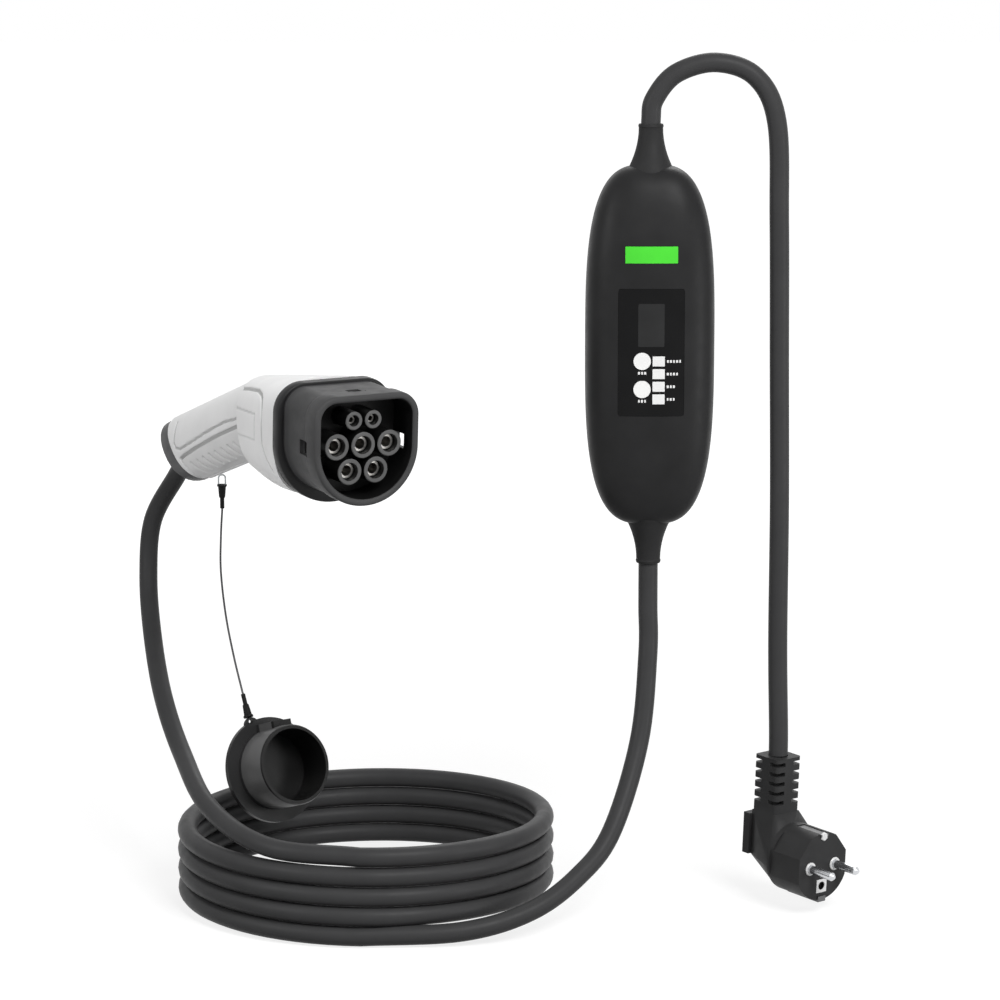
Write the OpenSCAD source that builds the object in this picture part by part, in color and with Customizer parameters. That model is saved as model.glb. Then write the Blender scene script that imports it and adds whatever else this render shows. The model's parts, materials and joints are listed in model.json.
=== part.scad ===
// Portable charger for electric vehicles: an in-cable control box, a seven-pole vehicle connector
// with its protective cap, a coil of cable and an angled mains plug.
// Millimetres. The origin is the middle of the flat back of the control box, +Z is up and the
// panel faces -Y.

/* [Control box] */
// Width of the box at its middle
box_w = 72.5; // [66:0.5:84]
// Height of the box from end to end of its rounded outline
box_h = 203; // [196:1:230]
// Depth of the front shell, from the parting plane to the crown of the panel side
front_d = 26; // [25:0.5:32]
// Depth of the rear shell, from the parting plane to the flat back
rear_d = 20; // [19.5:0.5:26]
// Crown that the flat back cuts off the rear shell
back_crown = 2; // [1:0.25:4]
// Wall of both shells
box_wall = 2.6; // [2.2:0.1:3]
// Diameter of the case screws' shank
case_screw_d = 3; // [2.5:0.1:3.4]
// Height of the outer case screws above and below the middle
case_screw_z = 60; // [54:1:66]

/* [Front panel] */
// Width of the panel overlay
panel_w = 37; // [34:0.5:42]
// Height of the panel overlay
panel_h = 71.5; // [66:0.5:76]
// Height of the overlay's middle above the middle of the box
panel_z = -1; // [-4:0.5:2]
// Depth of the pocket that the overlay lies in
panel_pocket = 1.2; // [1:0.1:1.4]
// Width of the display window
display_w = 14.6; // [12:0.2:16]
// Height of the display window
display_h = 24; // [20:0.5:26]
// Diameter of a button
button_d = 9.6; // [8:0.2:10.4]
// Travel of a button
button_travel = 0.6; // [0.3:0.1:0.8]
// Width of a status light
light_w = 6.8; // [5:0.2:7.2]
// Height of a status light
light_h = 5.6; // [4:0.2:6]
// Distance between status lights
light_pitch = 7.1; // [6.6:0.1:7.6]
// Width of the badge plate
badge_w = 29.5; // [24:0.5:34]
// Height of the badge plate
badge_h = 9.6; // [7:0.2:12]

/* [Cables and strain reliefs] */
// Diameter of the vehicle cable
vehicle_cable_d = 11; // [9:0.1:11.4]
// Diameter of the mains lead
mains_lead_d = 11; // [8:0.1:11.4]
// Diameter of a strain relief where it leaves the box
relief_base_d = 26.5; // [22:0.5:28]
// Diameter of a strain relief at its tip
relief_tip_d = 13.6; // [13.2:0.2:16]
// Length of a strain relief outside the end of the box
relief_len = 22.5; // [18:0.5:32]
// Radius of the coil, to the middle of the cable
coil_r = 102.5; // [92:0.5:108]
// Turns of cable on top of each other in the coil's solid
coil_turns = 4; // [3:1:4]

/* [Vehicle connector] */
// Half of the width of the nose
nose_half_w = 31.8; // [31:0.1:34]
// Height of the nose's flat top above the middle contact
nose_top = 28.8; // [27:0.1:31]
// Depth of the nose's round bottom below the middle contact
nose_bottom = 33; // [32:0.1:36]
// Wall of the nose
nose_wall = 4; // [3:0.1:5]
// Length of the nose in front of its flange
nose_len = 38; // [34:0.5:42]
// Thickness of the flange
flange_t = 7; // [5:0.5:9]
// How far the flange stands out from the nose
flange_step = 3.2; // [2:0.1:4]
// How far the flange hangs below the nose's outline
flange_drop = 2.2; // [0:0.1:3]
// Length of the raised rim at the mouth of the nose
rim_len = 12; // [8:0.5:20]
// Depth of the nose from its rim to the contact carrier
recess_depth = 22; // [16:0.5:26]
// Diameter of a power contact's tower
tower_d = 14.5; // [12:0.1:15.5]
// Diameter of a signal contact's tower
small_tower_d = 10.2; // [8:0.1:10.6]
// Diameter of the pin that a power contact takes
power_pin_d = 6; // [5:0.1:6.4]
// Diameter of the pin that a signal contact takes
signal_pin_d = 3; // [2.4:0.1:3.2]
// Wall of the connector's shell
grip_wall = 2.8; // [2.4:0.1:3.2]
// Half of the grip's height at its rear end
grip_half_h = 21; // [19:0.2:23]
// Half of the grip's width at its rear end
grip_half_w = 16; // [14:0.2:18]
// Angle of the grip below the nose
grip_angle = 22; // [18:1:28]

/* [Cap and tether] */
// Diameter of the cap's skirt
cap_d = 46.5; // [42:0.5:50]
// Diameter of the cap's flange
cap_flange_d = 61; // [54:0.5:64]
// Depth of the cap from its flange to its mouth
cap_depth = 24; // [18:0.5:30]
// Wall of the cap
cap_wall = 2.4; // [1.6:0.1:3]
// Diameter of the tether wire
tether_d = 1.2; // [0.8:0.1:1.6]

/* [Mains plug] */
// Diameter of the plug's face
plug_d = 39.5; // [36:0.5:41]
// Length of the plug from the middle of its neck to its face
plug_reach = 40; // [36:0.5:44]
// Side of the square neck
neck_w = 18.8; // [16:0.2:20]
// Height of the neck's top above the middle of the face
neck_top = 56; // [52:1:60]
// Ribs along the neck
neck_ribs = 6; // [4:1:6]
// Diameter of a mains pin
mains_pin_d = 4.8; // [4:0.1:5]
// Length of a mains pin outside the face
mains_pin_len = 19; // [17:0.5:20]
// Distance between the two mains pins
mains_pin_pitch = 19; // [18:0.5:20]

/* [Hidden] */
$fn = 48;

black = "#2b2c2e";
deep_black = "#151617";
cable_black = "#36373a";
white = "#e4e4e2";
grey = "#5b5d60";
steel = "#b9bcc0";
brass = "#c8a765";
board_green = "#2f6b45";
clear = "#cfd8dc";

// Running and seating clearances
seat_gap = 0.1;
slide_gap = 0.25;
far = 400;

// Rounding powers of the box: its outline from the front, and its section
end_power = 3.2;
section_power = 3;
// Share of the height at which the loft of the box closes, inside the strain reliefs
end_share = 0.994;
box_rings = 16;
box_sides = 32;

// Depths in the box's own frame: the parting plane is y = 0 and the panel side is negative
board_t = 1.6;
overlay_recess = 0.2;
main_board_w = 43;
board_end_room = 34.5;
main_board_h = box_h - 2 * board_end_room;
main_board_y = 11.8;
display_board_w = 40;
display_board_h = 76;
display_board_y = -15;
display_rise = 15.4;
display_z = panel_z + display_rise;
button_x = -5;
button_drop = [4.65, 20.4];
button_z = [for (drop = button_drop) panel_z - drop];
button_proud = 0.7;
button_flange_r = button_d / 2 + 1.3;
button_flange_t = 1.2;
switch_w = 6;
switch_h = 3.4;
switch_top = display_board_y - switch_h;
stem_r = 1.8;
light_x = 4.2;
light_drop = 4.75;
light_z0 = panel_z - light_drop;
light_count = 4;
light_ledge = 0.5;
panel_corner = 2;
badge_rise = 54.5;
badge_z = panel_z + badge_rise;
badge_depth = 0.8;

// Case screws and their bosses
boss_r = case_screw_d / 2 + 1.9;
screw_head_r = case_screw_d * 0.95;
screw_head_t = case_screw_d * 0.7;
case_screw_x = box_w / 2 - 9.2;
case_screw_at = [
    for (side = [-1, 1], level = [-1, 0, 1]) [side * case_screw_x, level * case_screw_z]
];
head_seat_y = 13;
board_post_r = 2.8;
board_screw_r = 1.25;
board_screw_at = [
    for (sx = [-1, 1], sz = [-1, 1]) [sx * (main_board_w / 2 - 3.5), sz * (main_board_h / 2 - 4)]
];

// Strain relief: the ring that the two shells hold, and its concave taper
relief_reach = box_h / 2 + relief_len;
relief_ring_r = relief_base_d / 2 + 1.1;
relief_ring_z = [box_h / 2 - 14.5, box_h / 2 - 11.5];
relief_inner_z = box_h / 2 - 17;
relief_lip_z = box_h / 2 - 3.5;
taper_steps = 8;

// Cable clamps, one at each end
clamp_z = box_h / 2 - 24;
clamp_w = 24;
clamp_h = 9;
clamp_t = 7.5;
clamp_screw_x = 9;
clamp_screw_r = 1.3;
clamp_screw_depth = 12;
cable_end_z = clamp_z - clamp_h / 2 - 3;

// Electronics in the box
panel_back_y = display_board_y - 4;
display_post_r = 2.2;
display_post_inset = 3;
window_ledge = 0.8;
screw_pilot = 0.2;
screw_fit = 0.25;
post_end_y = rear_d - 0.5;
seal_depth = 1.4;
seal_inset = [0.9, box_wall - 0.5];
module_margin = [5, 3];
module_d = 6.4;
guide_bar_shift = 0.9;
guide_bar_w = light_w - 3.6;
relay_size = [12.5, 29, 15.5];
relay_x = 8;
sensor_r = 11;
sensor_bore_r = 6;
sensor_h = 9;
supply_size = [34, 24, 15];
terminal_h = 14;
terminal_d = 11;
// Shares of the free length of the main board between its pieces, from the top end down
board_gaps = [9, 7, 7.5, 11, 6.5, 5];
board_free = main_board_h - 2 * terminal_h - supply_size.y - relay_size.y - sensor_h;
board_unit = board_free / (board_gaps * [1, 1, 1, 1, 1, 1]);
supply_terminal_z = main_board_h / 2 - board_gaps[0] * board_unit - terminal_h / 2;
supply_z = supply_terminal_z - terminal_h / 2 - board_gaps[1] * board_unit - supply_size.y / 2;
relay_z = supply_z - supply_size.y / 2 - board_gaps[2] * board_unit - relay_size.y / 2;
sensor_z = relay_z - relay_size.y / 2 - board_gaps[3] * board_unit - sensor_h / 2;
vehicle_terminal_z = sensor_z - sensor_h / 2 - board_gaps[4] * board_unit - terminal_h / 2;
wire_r = 1.6;
supply_ways = 3;
supply_pitch = 4.6;
vehicle_ways = 5;
vehicle_pitch = 4.2;
wire_bundle_r = 3.4;
wire_sides = 6;
// Places of the conductors around the cable, from left to right
three_angles = [210, 90, 330];
five_angles = [162, 234, 90, 306, 18];

// Contacts: position across and up, and whether the contact is a power contact
contact_pitch = 16;
lower_row_z = -14.2;
upper_row_z = 13.8;
signal_pitch = 11.8;
tower_front = -5;
carrier_t = 8;
power_sleeve_r = power_pin_d / 2 + 1.2;
signal_sleeve_r = signal_pin_d / 2 + 0.8;
tower_mouth = 0.7;
contact_mouth = -9;
contact_bore_len = 18;
contact_tail = 16;

// Connector head and grip, in the connector's own frame: x runs forward through the nose
head_front_x = -nose_len - flange_t;
head_rear_top_x = -121;
head_rear_bottom_x = -106;
head_rear_top = 18;
head_rear_half_w = 22.5;
grip_origin_x = -110;
grip_start_x = 2;
grip_end_x = -110.5;
grip_slant = 25;
grip_front_half_h = grip_half_h + 0.4;
grip_front_drop = 1;
grip_front_half_w = grip_half_w + 1.6;
collar_t = 14;
// Rounding of the collar: share of its length, and share of the grip's section
collar_profile = [[1, 0.8], [0.94, 0.9], [0.8, 0.95], [0.02, 0.965]];
collar_spigot_len = 9;
spigot_len = 9;
waist = 1;
lock_hole = [10, 8];
lock_hole_x = -15;
finger_grooves = 8;
finger_pitch = 8.4;
finger_first_x = -96;
finger_depth = 0.9;
finger_w = 2.2;
shell_screw_r = 1.5;
shell_boss_r = 3.4;
// Shell screws: position along the nose axis and height
shell_screw_at = [[-66, -12], [-98, -12]];
// Shell screws in the grip: position along the grip
grip_screw_x = [-50, -88];
shell_boss_len = grip_half_w - grip_wall / 2;
shell_head_y = shell_boss_len - 3;
shell_head_t = 2;

// Places and directions of the connector, the cap and the plug
connector_pos = [-155.5, -115, -42.5];
connector_yaw = -60;
connector_pitch = 3;
cap_pos = [-201.2, -15, -243.1];
cap_yaw = -53;
cap_pitch = -18;
plug_entry = [75, -21, -236];
plug_yaw = -50;
plug_pitch = 3;

// Coil on the floor
coil_pos = [-161, -13, -322];
coil_h = coil_turns * vehicle_cable_d + 1;

// Tether and cap
tether_back = 81;
tether_gap = 0.7;
tether_top = grip_point([-tether_back, 0, -grip_half_h - tether_gap]);
crimp_r = 2.3;
crimp_len = 14;
loop_r = 2;
loop_wire_r = 0.5;
loop_drop = 3.6;
tether_start = tether_top - [0, 0, loop_r + loop_wire_r + loop_drop + seat_gap + crimp_len];
cap_base_t = 3;
key_w = 12;
key_h = 3.5;
key_set_back = 4;
lug_r = 4.6;
lug_reach = 33;
lug_root = 3;
lug_set_back = 0.4;
lug_turn = 17;
lug_hole_r = 1.3;
cap_lip = 1.2;
lug_tip = cap_point([
    -cap_depth - cap_base_t / 2, -lug_reach * sin(lug_turn), lug_reach * cos(lug_turn)
]);
eye_r = 0.6;
eye_gap = 0.7;

// Mains plug, in its own frame: x runs along the pins and the face is x = 0
slot_h = 2.3;
rib_pitch = 5.6;
web_w = 6;
neck_corner = 2;
tab_w = 24;
tab_h = 24;
tab_t = 4;
tab_z = 9;
heel_h = 26;
heel_z = -3;
brow_h = 6;
brow_sink = 2;
side_flat = 1.5;
facet_depth = 1.3;
facet_turn = 39;
barrel_len = 25;
shoulder = 1.5;
shoulder_step = 0.4;
shoulder_lap = 0.5;
rail_start = 1 - barrel_len;
facet_start = 3.5 - barrel_len;
slab = 0.2;
lead_depth = 22;
pin_root = 16;
pin_tip = 1.2;
pin_tip_len = 1.6;
pin_root_r = mains_pin_d / 2 + 0.5;
clip_w = 6;
clip_t = 1.6;
clip_len = 20;
clip_proud = 0.8;
rail_proud = 0.9;
channel_t = 2.4;
socket_side = 8;
socket_len = 14;
socket_z = -11.5;
socket_bore_r = 2.45;

// Routes of the cables. Their ends follow the pieces that they enter.
mains_route = [
    [0, -rear_d, cable_end_z], [0, -rear_d, relief_reach - 24], [0, -rear_d, relief_reach + 2],
    [2, -rear_d, relief_reach + 14], [14, -rear_d, relief_reach + 28], [36, -rear_d, relief_reach + 34],
    [58, -rear_d, relief_reach + 26], [70, -rear_d, relief_reach + 1], [72, -20, 70], [73, -20, -10],
    [74, -20, -90], [74, -20, -170], [75, -20.5, -220], plug_entry
];
box_cable_route = [
    [0, -rear_d, -cable_end_z], [0, -rear_d, 24 - relief_reach], [0, -rear_d, -relief_reach - 6],
    [0, -rear_d - 1, -relief_reach - 26], [0, -rear_d - 5, -relief_reach - 52], [-5, -37, -224],
    [-21, -62, -270], [-40, -81, -291], [-67, -100, -306], [-105, -113, -314],
    [coil_pos.x, coil_pos.y - coil_r, -316]
];
connector_cable_route = concat(
    [connector_entry(-18), connector_entry(collar_t / 2 + 1), connector_entry(collar_t / 2 + 19)],
    [
        [-291, 104, -122], [-294, 100, -155], [-290, 76, -186], [-281, 38, -215], [-267, -2, -240],
        [-247, -56, -259], [-212, -101, -269], [-161, coil_pos.y - coil_r, -271]
    ]
);
tether_route = [
    tether_start, [-246, 38, -120], [-246, 34, -140], [-243, 28, -165], [-238, 20, -188],
    [-232.5, 11.2, -207.8]
];

// Rounded coordinate of a superellipse
function rounded(v, power) = sign(v) * pow(abs(v), 2 / power);
function turn_y(p, a) = [p.x * cos(a) + p.z * sin(a), p.y, p.z * cos(a) - p.x * sin(a)];
function turn_z(p, a) = [p.x * cos(a) - p.y * sin(a), p.x * sin(a) + p.y * cos(a), p.z];
function mix(a, b, t) = a + (b - a) * t;

// Point of the connector's frame in the part's frame
function connector_point(p) = connector_pos + turn_z(turn_y(p, connector_pitch), connector_yaw);
// Point of the grip's frame in the part's frame
function grip_point(p) = connector_point([grip_origin_x, 0, 0] + turn_y(p, -grip_angle));
// Point on the cable's axis behind the middle of the collar
function connector_entry(d) =
    grip_point([grip_end_x - collar_t / 2, 0, 0] + turn_y([-d, 0, 0], -grip_slant));
// Point of the cap's frame in the part's frame
function cap_point(p) = cap_pos + turn_z(turn_y(p, cap_pitch), cap_yaw);

// Faces of a loft with n points a ring, wound so that they look outward
function loft_faces(rings, n) = concat(
    [[for (i = [0:n - 1]) i]],
    [
        for (j = [0:rings - 2], i = [0:n - 1], half = [0, 1])
        let (a = j * n + i, b = a + n, d = j * n + (i + 1) % n, c = d + n)
        half == 0 ? [a, b, c] : [a, c, d]
    ],
    [[for (i = [n - 1:-1:0]) (rings - 1) * n + i]]
);
function flat(rings) = [for (ring = rings, p = ring) p];

// Section of the box at a height, drawn in by an inset
function box_growth(z, inset) = pow(1 - pow(abs(z) / (box_h / 2 - inset), end_power), 1 / end_power);
function box_ring(z, inset, n) = [
    for (i = [0:n - 1])
    let (
        a = 360 * i / n,
        g = box_growth(z, inset),
        depth = sin(a) < 0 ? front_d - inset : rear_d + back_crown - inset
    )
    [
        (box_w / 2 - inset) * g * rounded(cos(a), section_power),
        depth * g * rounded(sin(a), section_power),
        z
    ]
];

// Outline of the nose, grown outward: a round bottom and a flat top with rounded corners
function nose_corner_r() = nose_half_w * 0.42;
function nose_outline(grow) =
    let (
        r = nose_half_w + grow,
        c = nose_corner_r() + grow,
        cx = nose_half_w - nose_corner_r(),
        cz = nose_top - nose_corner_r(),
        low = nose_half_w - nose_bottom
    )
    concat(
        [for (a = [180:10:360]) [r * cos(a), low + r * sin(a)]],
        [for (a = [0:15:90]) [cx + c * cos(a), cz + c * sin(a)]],
        [for (a = [90:15:180]) [-cx + c * cos(a), cz + c * sin(a)]]
    );

// Ring of the connector head: t runs from the flange to the slanted rear edge
function head_ring(t, inset, n) = [
    for (i = [0:n - 1])
    let (
        a = 360 * i / n,
        top = mix(nose_top + flange_step - 1.2, head_rear_top, t) - inset,
        bottom = -nose_bottom - flange_step + 1 - 2.5 * sin(180 * min(max(t, 0), 1)) + inset,
        half_w = mix(nose_half_w + flange_step - 1.2, head_rear_half_w, t) - inset,
        power = mix(2.9, 2.5, t),
        middle = mix(0, -10, t),
        y = half_w * rounded(cos(a), power),
        up = rounded(sin(a), power),
        z = up > 0 ? middle + (top - middle) * up : middle + (middle - bottom) * up,
        fall = (head_rear_top - z) / (head_rear_top + nose_bottom + flange_step),
        rear_x = mix(head_rear_top_x, head_rear_bottom_x, fall)
    )
    [mix(head_front_x, rear_x, t), -y, z]
];

// Ring of the grip in the grip's frame: s runs from inside the head to the slanted rear end
function grip_ring(s, inset, shrink, n) = [
    for (i = [0:n - 1])
    let (
        a = 360 * i / n,
        half_h = (mix(grip_front_half_h, grip_half_h, s) - inset) * shrink,
        half_w = (mix(grip_front_half_w, grip_half_w, s) - inset) * shrink,
        z = half_h * rounded(sin(a), 2.3) - grip_front_drop * (1 - s)
    )
    [mix(grip_start_x, grip_end_x, s) - tan(grip_slant) * s * z, -half_w * rounded(cos(a), 2.3), z]
];

// Ring of the rear collar in the grip's frame, behind the slanted end of the grip
function collar_ring(back, share, n) = [
    for (i = [0:n - 1])
    let (a = 360 * i / n, z = grip_half_h * share * rounded(sin(a), 2.3))
    [grip_end_x - back - tan(grip_slant) * z, -grip_half_w * share * rounded(cos(a), 2.3), z]
];

// Smooth curve through a route's points, with steps rings a stretch
function route_point(p, i) =
    let (last = len(p) - 1)
    i < 0 ? 2 * p[0] - p[1] : i > last ? 2 * p[last] - p[last - 1] : p[i];
function curve_at(p, i, t) =
    let (a = route_point(p, i - 1), b = p[i], c = p[i + 1], d = route_point(p, i + 2))
    0.5 * (2 * b + (c - a) * t + (2 * a - 5 * b + 4 * c - d) * t * t + (3 * b - a - 3 * c + d) * t * t * t);
function curve(p, steps) = concat(
    [for (i = [0:len(p) - 2], k = [0:steps - 1]) curve_at(p, i, k / steps)],
    [p[len(p) - 1]]
);
function unit(v) = v / norm(v);
function tangent(c, i) =
    i == 0 ? unit(c[1] - c[0]) : i == len(c) - 1 ? unit(c[i] - c[i - 1]) : unit(c[i + 1] - c[i - 1]);
// Side direction carried along the curve without twisting
function carried(side, t) = unit(side - (side * t) * t);
function tube_rings(c, r, n) = [
    for (i = 0, side = carried([1, 0.3, 0.2], tangent(c, 0));
        i < len(c);
        i = i + 1, side = i < len(c) ? carried(side, tangent(c, i)) : side)
    let (up = cross(tangent(c, i), side))
    [for (k = [0:n - 1]) c[i] + r * (cos(360 * k / n) * side + sin(360 * k / n) * up)]
];

// Shared frames and tools
module in_box() {
    translate([0, -rear_d, 0]) children();
}

module at_connector() {
    translate(connector_pos) rotate([0, 0, connector_yaw]) rotate([0, connector_pitch, 0]) children();
}

module in_grip() {
    translate([grip_origin_x, 0, 0]) rotate([0, -grip_angle, 0]) children();
}

module at_collar() {
    at_connector() in_grip() translate([grip_end_x - collar_t / 2, 0, 0]) rotate([0, -grip_slant, 0])
        children();
}

module at_cap() {
    translate(cap_pos) rotate([0, 0, cap_yaw]) rotate([0, cap_pitch, 0]) children();
}

module at_plug() {
    translate(plug_entry) rotate([0, 0, plug_yaw]) rotate([0, plug_pitch, 0])
        translate([plug_reach, 0, -neck_top]) children();
}

// Cylinder along +X from x0 to x1
module rod_x(r, x0, x1) {
    translate([x0, 0, 0]) rotate([0, 90, 0]) cylinder(r = r, h = x1 - x0);
}

// Cylinder along +Y from y0 to y1
module rod_y(r, y0, y1) {
    translate([0, y0, 0]) rotate([-90, 0, 0]) cylinder(r = r, h = y1 - y0);
}

// Block centred on x and z, from y0 to y1
module block_y(w, h, y0, y1) {
    translate([-w / 2, y0, -h / 2]) cube([w, y1 - y0, h]);
}

// Rounded rectangle centred on x and z, from y0 to y1
module plate_y(w, h, corner, y0, y1) {
    translate([0, y1, 0]) rotate([90, 0, 0]) linear_extrude(y1 - y0)
        for (size = [[w - 2 * corner, h], [w, h - 2 * corner]]) square(size, center = true);
    for (sx = [-1, 1], sz = [-1, 1])
        translate([sx * (w / 2 - corner), 0, sz * (h / 2 - corner)]) rod_y(corner, y0, y1);
}

module box_loft(inset, rings = box_rings, sides = box_sides) {
    reach = (box_h / 2 - inset) * end_share;
    polyhedron(
        points = flat([for (j = [0:rings]) box_ring(reach * sin(-90 + 180 * j / rings), inset, sides)]),
        faces = loft_faces(rings + 1, sides)
    );
}

module front_half() {
    translate([-far / 2, -far, -far / 2]) cube([far, far, far]);
}

module rear_half() {
    translate([-far / 2, 0, -far / 2]) cube([far, rear_d, far]);
}

// Hollow of the box, with the room for the two strain reliefs
module box_hollow() {
    intersection() {
        box_loft(box_wall, 12, 24);
        translate([-far / 2, -far, -far / 2]) cube([far, far + rear_d - box_wall, far]);
    }
    for (end = [0, 1]) mirror([0, 0, end]) {
        translate([0, 0, relief_inner_z]) cylinder(r = relief_base_d / 2 + seat_gap, h = far);
        translate([0, 0, relief_ring_z[0] - seat_gap])
            cylinder(r = relief_ring_r + seat_gap, h = relief_ring_z[1] - relief_ring_z[0] + 2 * seat_gap);
    }
}

// Solid of the box under its skin by a depth, for the pieces that lie in the crown
module crown(depth) {
    box_loft(depth, 8, 24);
}

module front_shell() {
    color(black) in_box() difference() {
        union() {
            intersection() {
                difference() {
                    box_loft(0);
                    box_hollow();
                }
                front_half();
            }
            intersection() {
                box_loft(box_wall / 2, 10, 20);
                union() {
                    for (p = case_screw_at) translate([p.x, 0, p.y]) rod_y(boss_r, -front_d, 0);
                    display_posts() rod_y(display_post_r, -front_d, display_board_y);
                }
            }
        }
        for (p = case_screw_at) translate([p.x, 0, p.y])
            rod_y(case_screw_d / 2 - screw_pilot, -front_d * 0.45, 1);
        difference() {
            panel_prism(0);
            crown(panel_pocket);
        }
        difference() {
            badge_prism(0);
            crown(badge_depth);
        }
        translate([0, 0, display_z])
            block_y(display_w - 2 * window_ledge, display_h - 2 * window_ledge, -far, panel_back_y);
        for (z = button_z) translate([button_x, 0, z])
            rod_y(button_d / 2 + slide_gap, -far, panel_back_y);
        status_light_places()
            block_y(light_w - 2 * light_ledge + 2 * seat_gap, light_h - 2 * light_ledge + 2 * seat_gap,
                -far, panel_back_y);
    }
}

// Prisms through the crown for the panel and the badge, drawn in by an inset at their edge
module panel_prism(inset) {
    translate([0, 0, panel_z])
        plate_y(panel_w - 2 * inset, panel_h - 2 * inset, panel_corner, -2 * front_d, -front_d * 0.6);
}

module badge_prism(inset) {
    translate([0, 0, badge_z])
        block_y(badge_w - 2 * inset, badge_h - 2 * inset, -2 * front_d, -front_d * 0.6);
}

module display_posts() {
    for (sx = [-1, 1], sz = [-1, 1])
        translate([
            sx * (display_board_w / 2 - display_post_inset), 0,
            panel_z + sz * (display_board_h / 2 - display_post_inset)
        ]) children();
}

module status_light_places() {
    for (k = [0:light_count - 1]) translate([light_x, 0, light_z0 - k * light_pitch]) children();
}

module rear_shell() {
    color(black) in_box() difference() {
        union() {
            intersection() {
                difference() {
                    box_loft(0);
                    box_hollow();
                }
                rear_half();
            }
            intersection() {
                box_loft(box_wall / 2, 10, 20);
                rear_half();
                union() {
                    for (p = case_screw_at) translate([p.x, 0, p.y]) rod_y(boss_r, 0, post_end_y);
                    for (p = board_screw_at) translate([p.x, 0, p.y])
                        rod_y(board_post_r, main_board_y + board_t, post_end_y);
                    for (end = [0, 1]) mirror([0, 0, end]) translate([0, 0, clamp_z])
                        block_y(clamp_w, clamp_h, 0, post_end_y);
                }
            }
        }
        for (p = case_screw_at) translate([p.x, 0, p.y]) {
            rod_y(case_screw_d / 2 + seat_gap, -1, far);
            rod_y(screw_head_r + slide_gap, head_seat_y, far);
        }
        for (p = board_screw_at) translate([p.x, 0, p.y])
            rod_y(board_screw_r, main_board_y, rear_d - box_wall);
        cylinder(r = mains_lead_d / 2, h = far);
        translate([0, 0, -far]) cylinder(r = vehicle_cable_d / 2, h = far);
        for (end = [0, 1], sx = [-1, 1]) mirror([0, 0, end])
            translate([sx * clamp_screw_x, 0, clamp_z]) rod_y(clamp_screw_r, -1, clamp_screw_depth);
        seal_band();
    }
}

// Groove in the rim of the rear shell, which the seal fills
module seal_band() {
    difference() {
        intersection() {
            box_loft(seal_inset[0], 10, 20);
            translate([-far / 2, 0, -far / 2]) cube([far, seal_depth, far]);
        }
        box_loft(seal_inset[1], 10, 20);
    }
}

module housing_seal() {
    color(deep_black) in_box() difference() {
        seal_band();
        for (end = [0, 1]) mirror([0, 0, end])
            translate([0, 0, relief_inner_z]) cylinder(r = relief_ring_r + seat_gap, h = far);
    }
}

module panel_overlay() {
    color(deep_black) in_box() difference() {
        intersection() {
            panel_prism(seat_gap);
            crown(overlay_recess);
        }
        crown(panel_pocket);
        translate([0, 0, display_z]) block_y(display_w, display_h, -far / 2, 0);
        for (z = button_z) translate([button_x, 0, z]) rod_y(button_d / 2 + slide_gap, -far / 2, 0);
        status_light_places() block_y(light_w, light_h, -far / 2, 0);
    }
}

module display_window() {
    color(grey) in_box() intersection() {
        translate([0, 0, display_z])
            block_y(display_w - 2 * seat_gap, display_h - 2 * seat_gap, -far / 2, -front_d * 0.6);
        difference() {
            crown(overlay_recess + seat_gap);
            crown(panel_pocket);
        }
    }
}

module display_module() {
    color(steel) in_box() translate([0, 0, display_z])
        block_y(display_w + module_margin.x, display_h + module_margin.y,
            display_board_y - module_d, display_board_y);
}

module display_board() {
    color(board_green) in_box() translate([0, 0, panel_z])
        block_y(display_board_w, display_board_h, display_board_y, display_board_y + board_t);
}

module button(z) {
    top = -front_d - button_proud + 0.4;
    flange_y = box_wall - front_d + 0.75;
    color(white) in_box() translate([button_x, 0, z]) {
        rod_y(button_d / 2, top, flange_y + button_flange_t);
        rod_y(button_flange_r, flange_y, flange_y + button_flange_t);
        rod_y(stem_r, flange_y, switch_top - button_travel - seat_gap);
    }
}

module upper_button() {
    button(button_z[0]);
}

module lower_button() {
    button(button_z[1]);
}

module key_switches() {
    color(deep_black) in_box() for (z = button_z)
        translate([button_x, 0, z]) block_y(switch_w, switch_w, switch_top, display_board_y);
}

// One clear moulding: a bar on the display board with a square guide for each light
module status_lights() {
    bar_front = panel_back_y - 0.2;
    guide_front = panel_pocket * 0.8 - front_d;
    bar_h = (light_count - 1) * light_pitch + light_h;
    color(white) in_box() {
        status_light_places()
            block_y(light_w - 2 * light_ledge, light_h - 2 * light_ledge, guide_front, bar_front);
        intersection() {
            status_light_places()
                block_y(light_w - 2 * seat_gap, light_h - 2 * seat_gap, -far / 2, -front_d * 0.6);
            difference() {
                crown(overlay_recess);
                crown(panel_pocket);
            }
        }
        translate([light_x + guide_bar_shift, 0, light_z0 - (light_count - 1) * light_pitch / 2])
            block_y(guide_bar_w, bar_h, bar_front, display_board_y);
    }
}

module badge_plate() {
    color("#45e632") in_box() intersection() {
        badge_prism(seat_gap);
        difference() {
            crown(seat_gap);
            crown(badge_depth);
        }
    }
}

module main_board() {
    color(board_green) in_box() difference() {
        block_y(main_board_w, main_board_h, main_board_y, main_board_y + board_t);
        for (p = board_screw_at) translate([p.x, 0, p.y])
            rod_y(board_screw_r + screw_pilot, main_board_y - 1, main_board_y + board_t + 1);
    }
}

module relay(x) {
    color(deep_black) in_box() translate([x, 0, relay_z])
        block_y(relay_size.x, relay_size.y, main_board_y - relay_size.z, main_board_y);
}

module line_relay() {
    relay(-relay_x);
}

module neutral_relay() {
    relay(relay_x);
}

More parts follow.
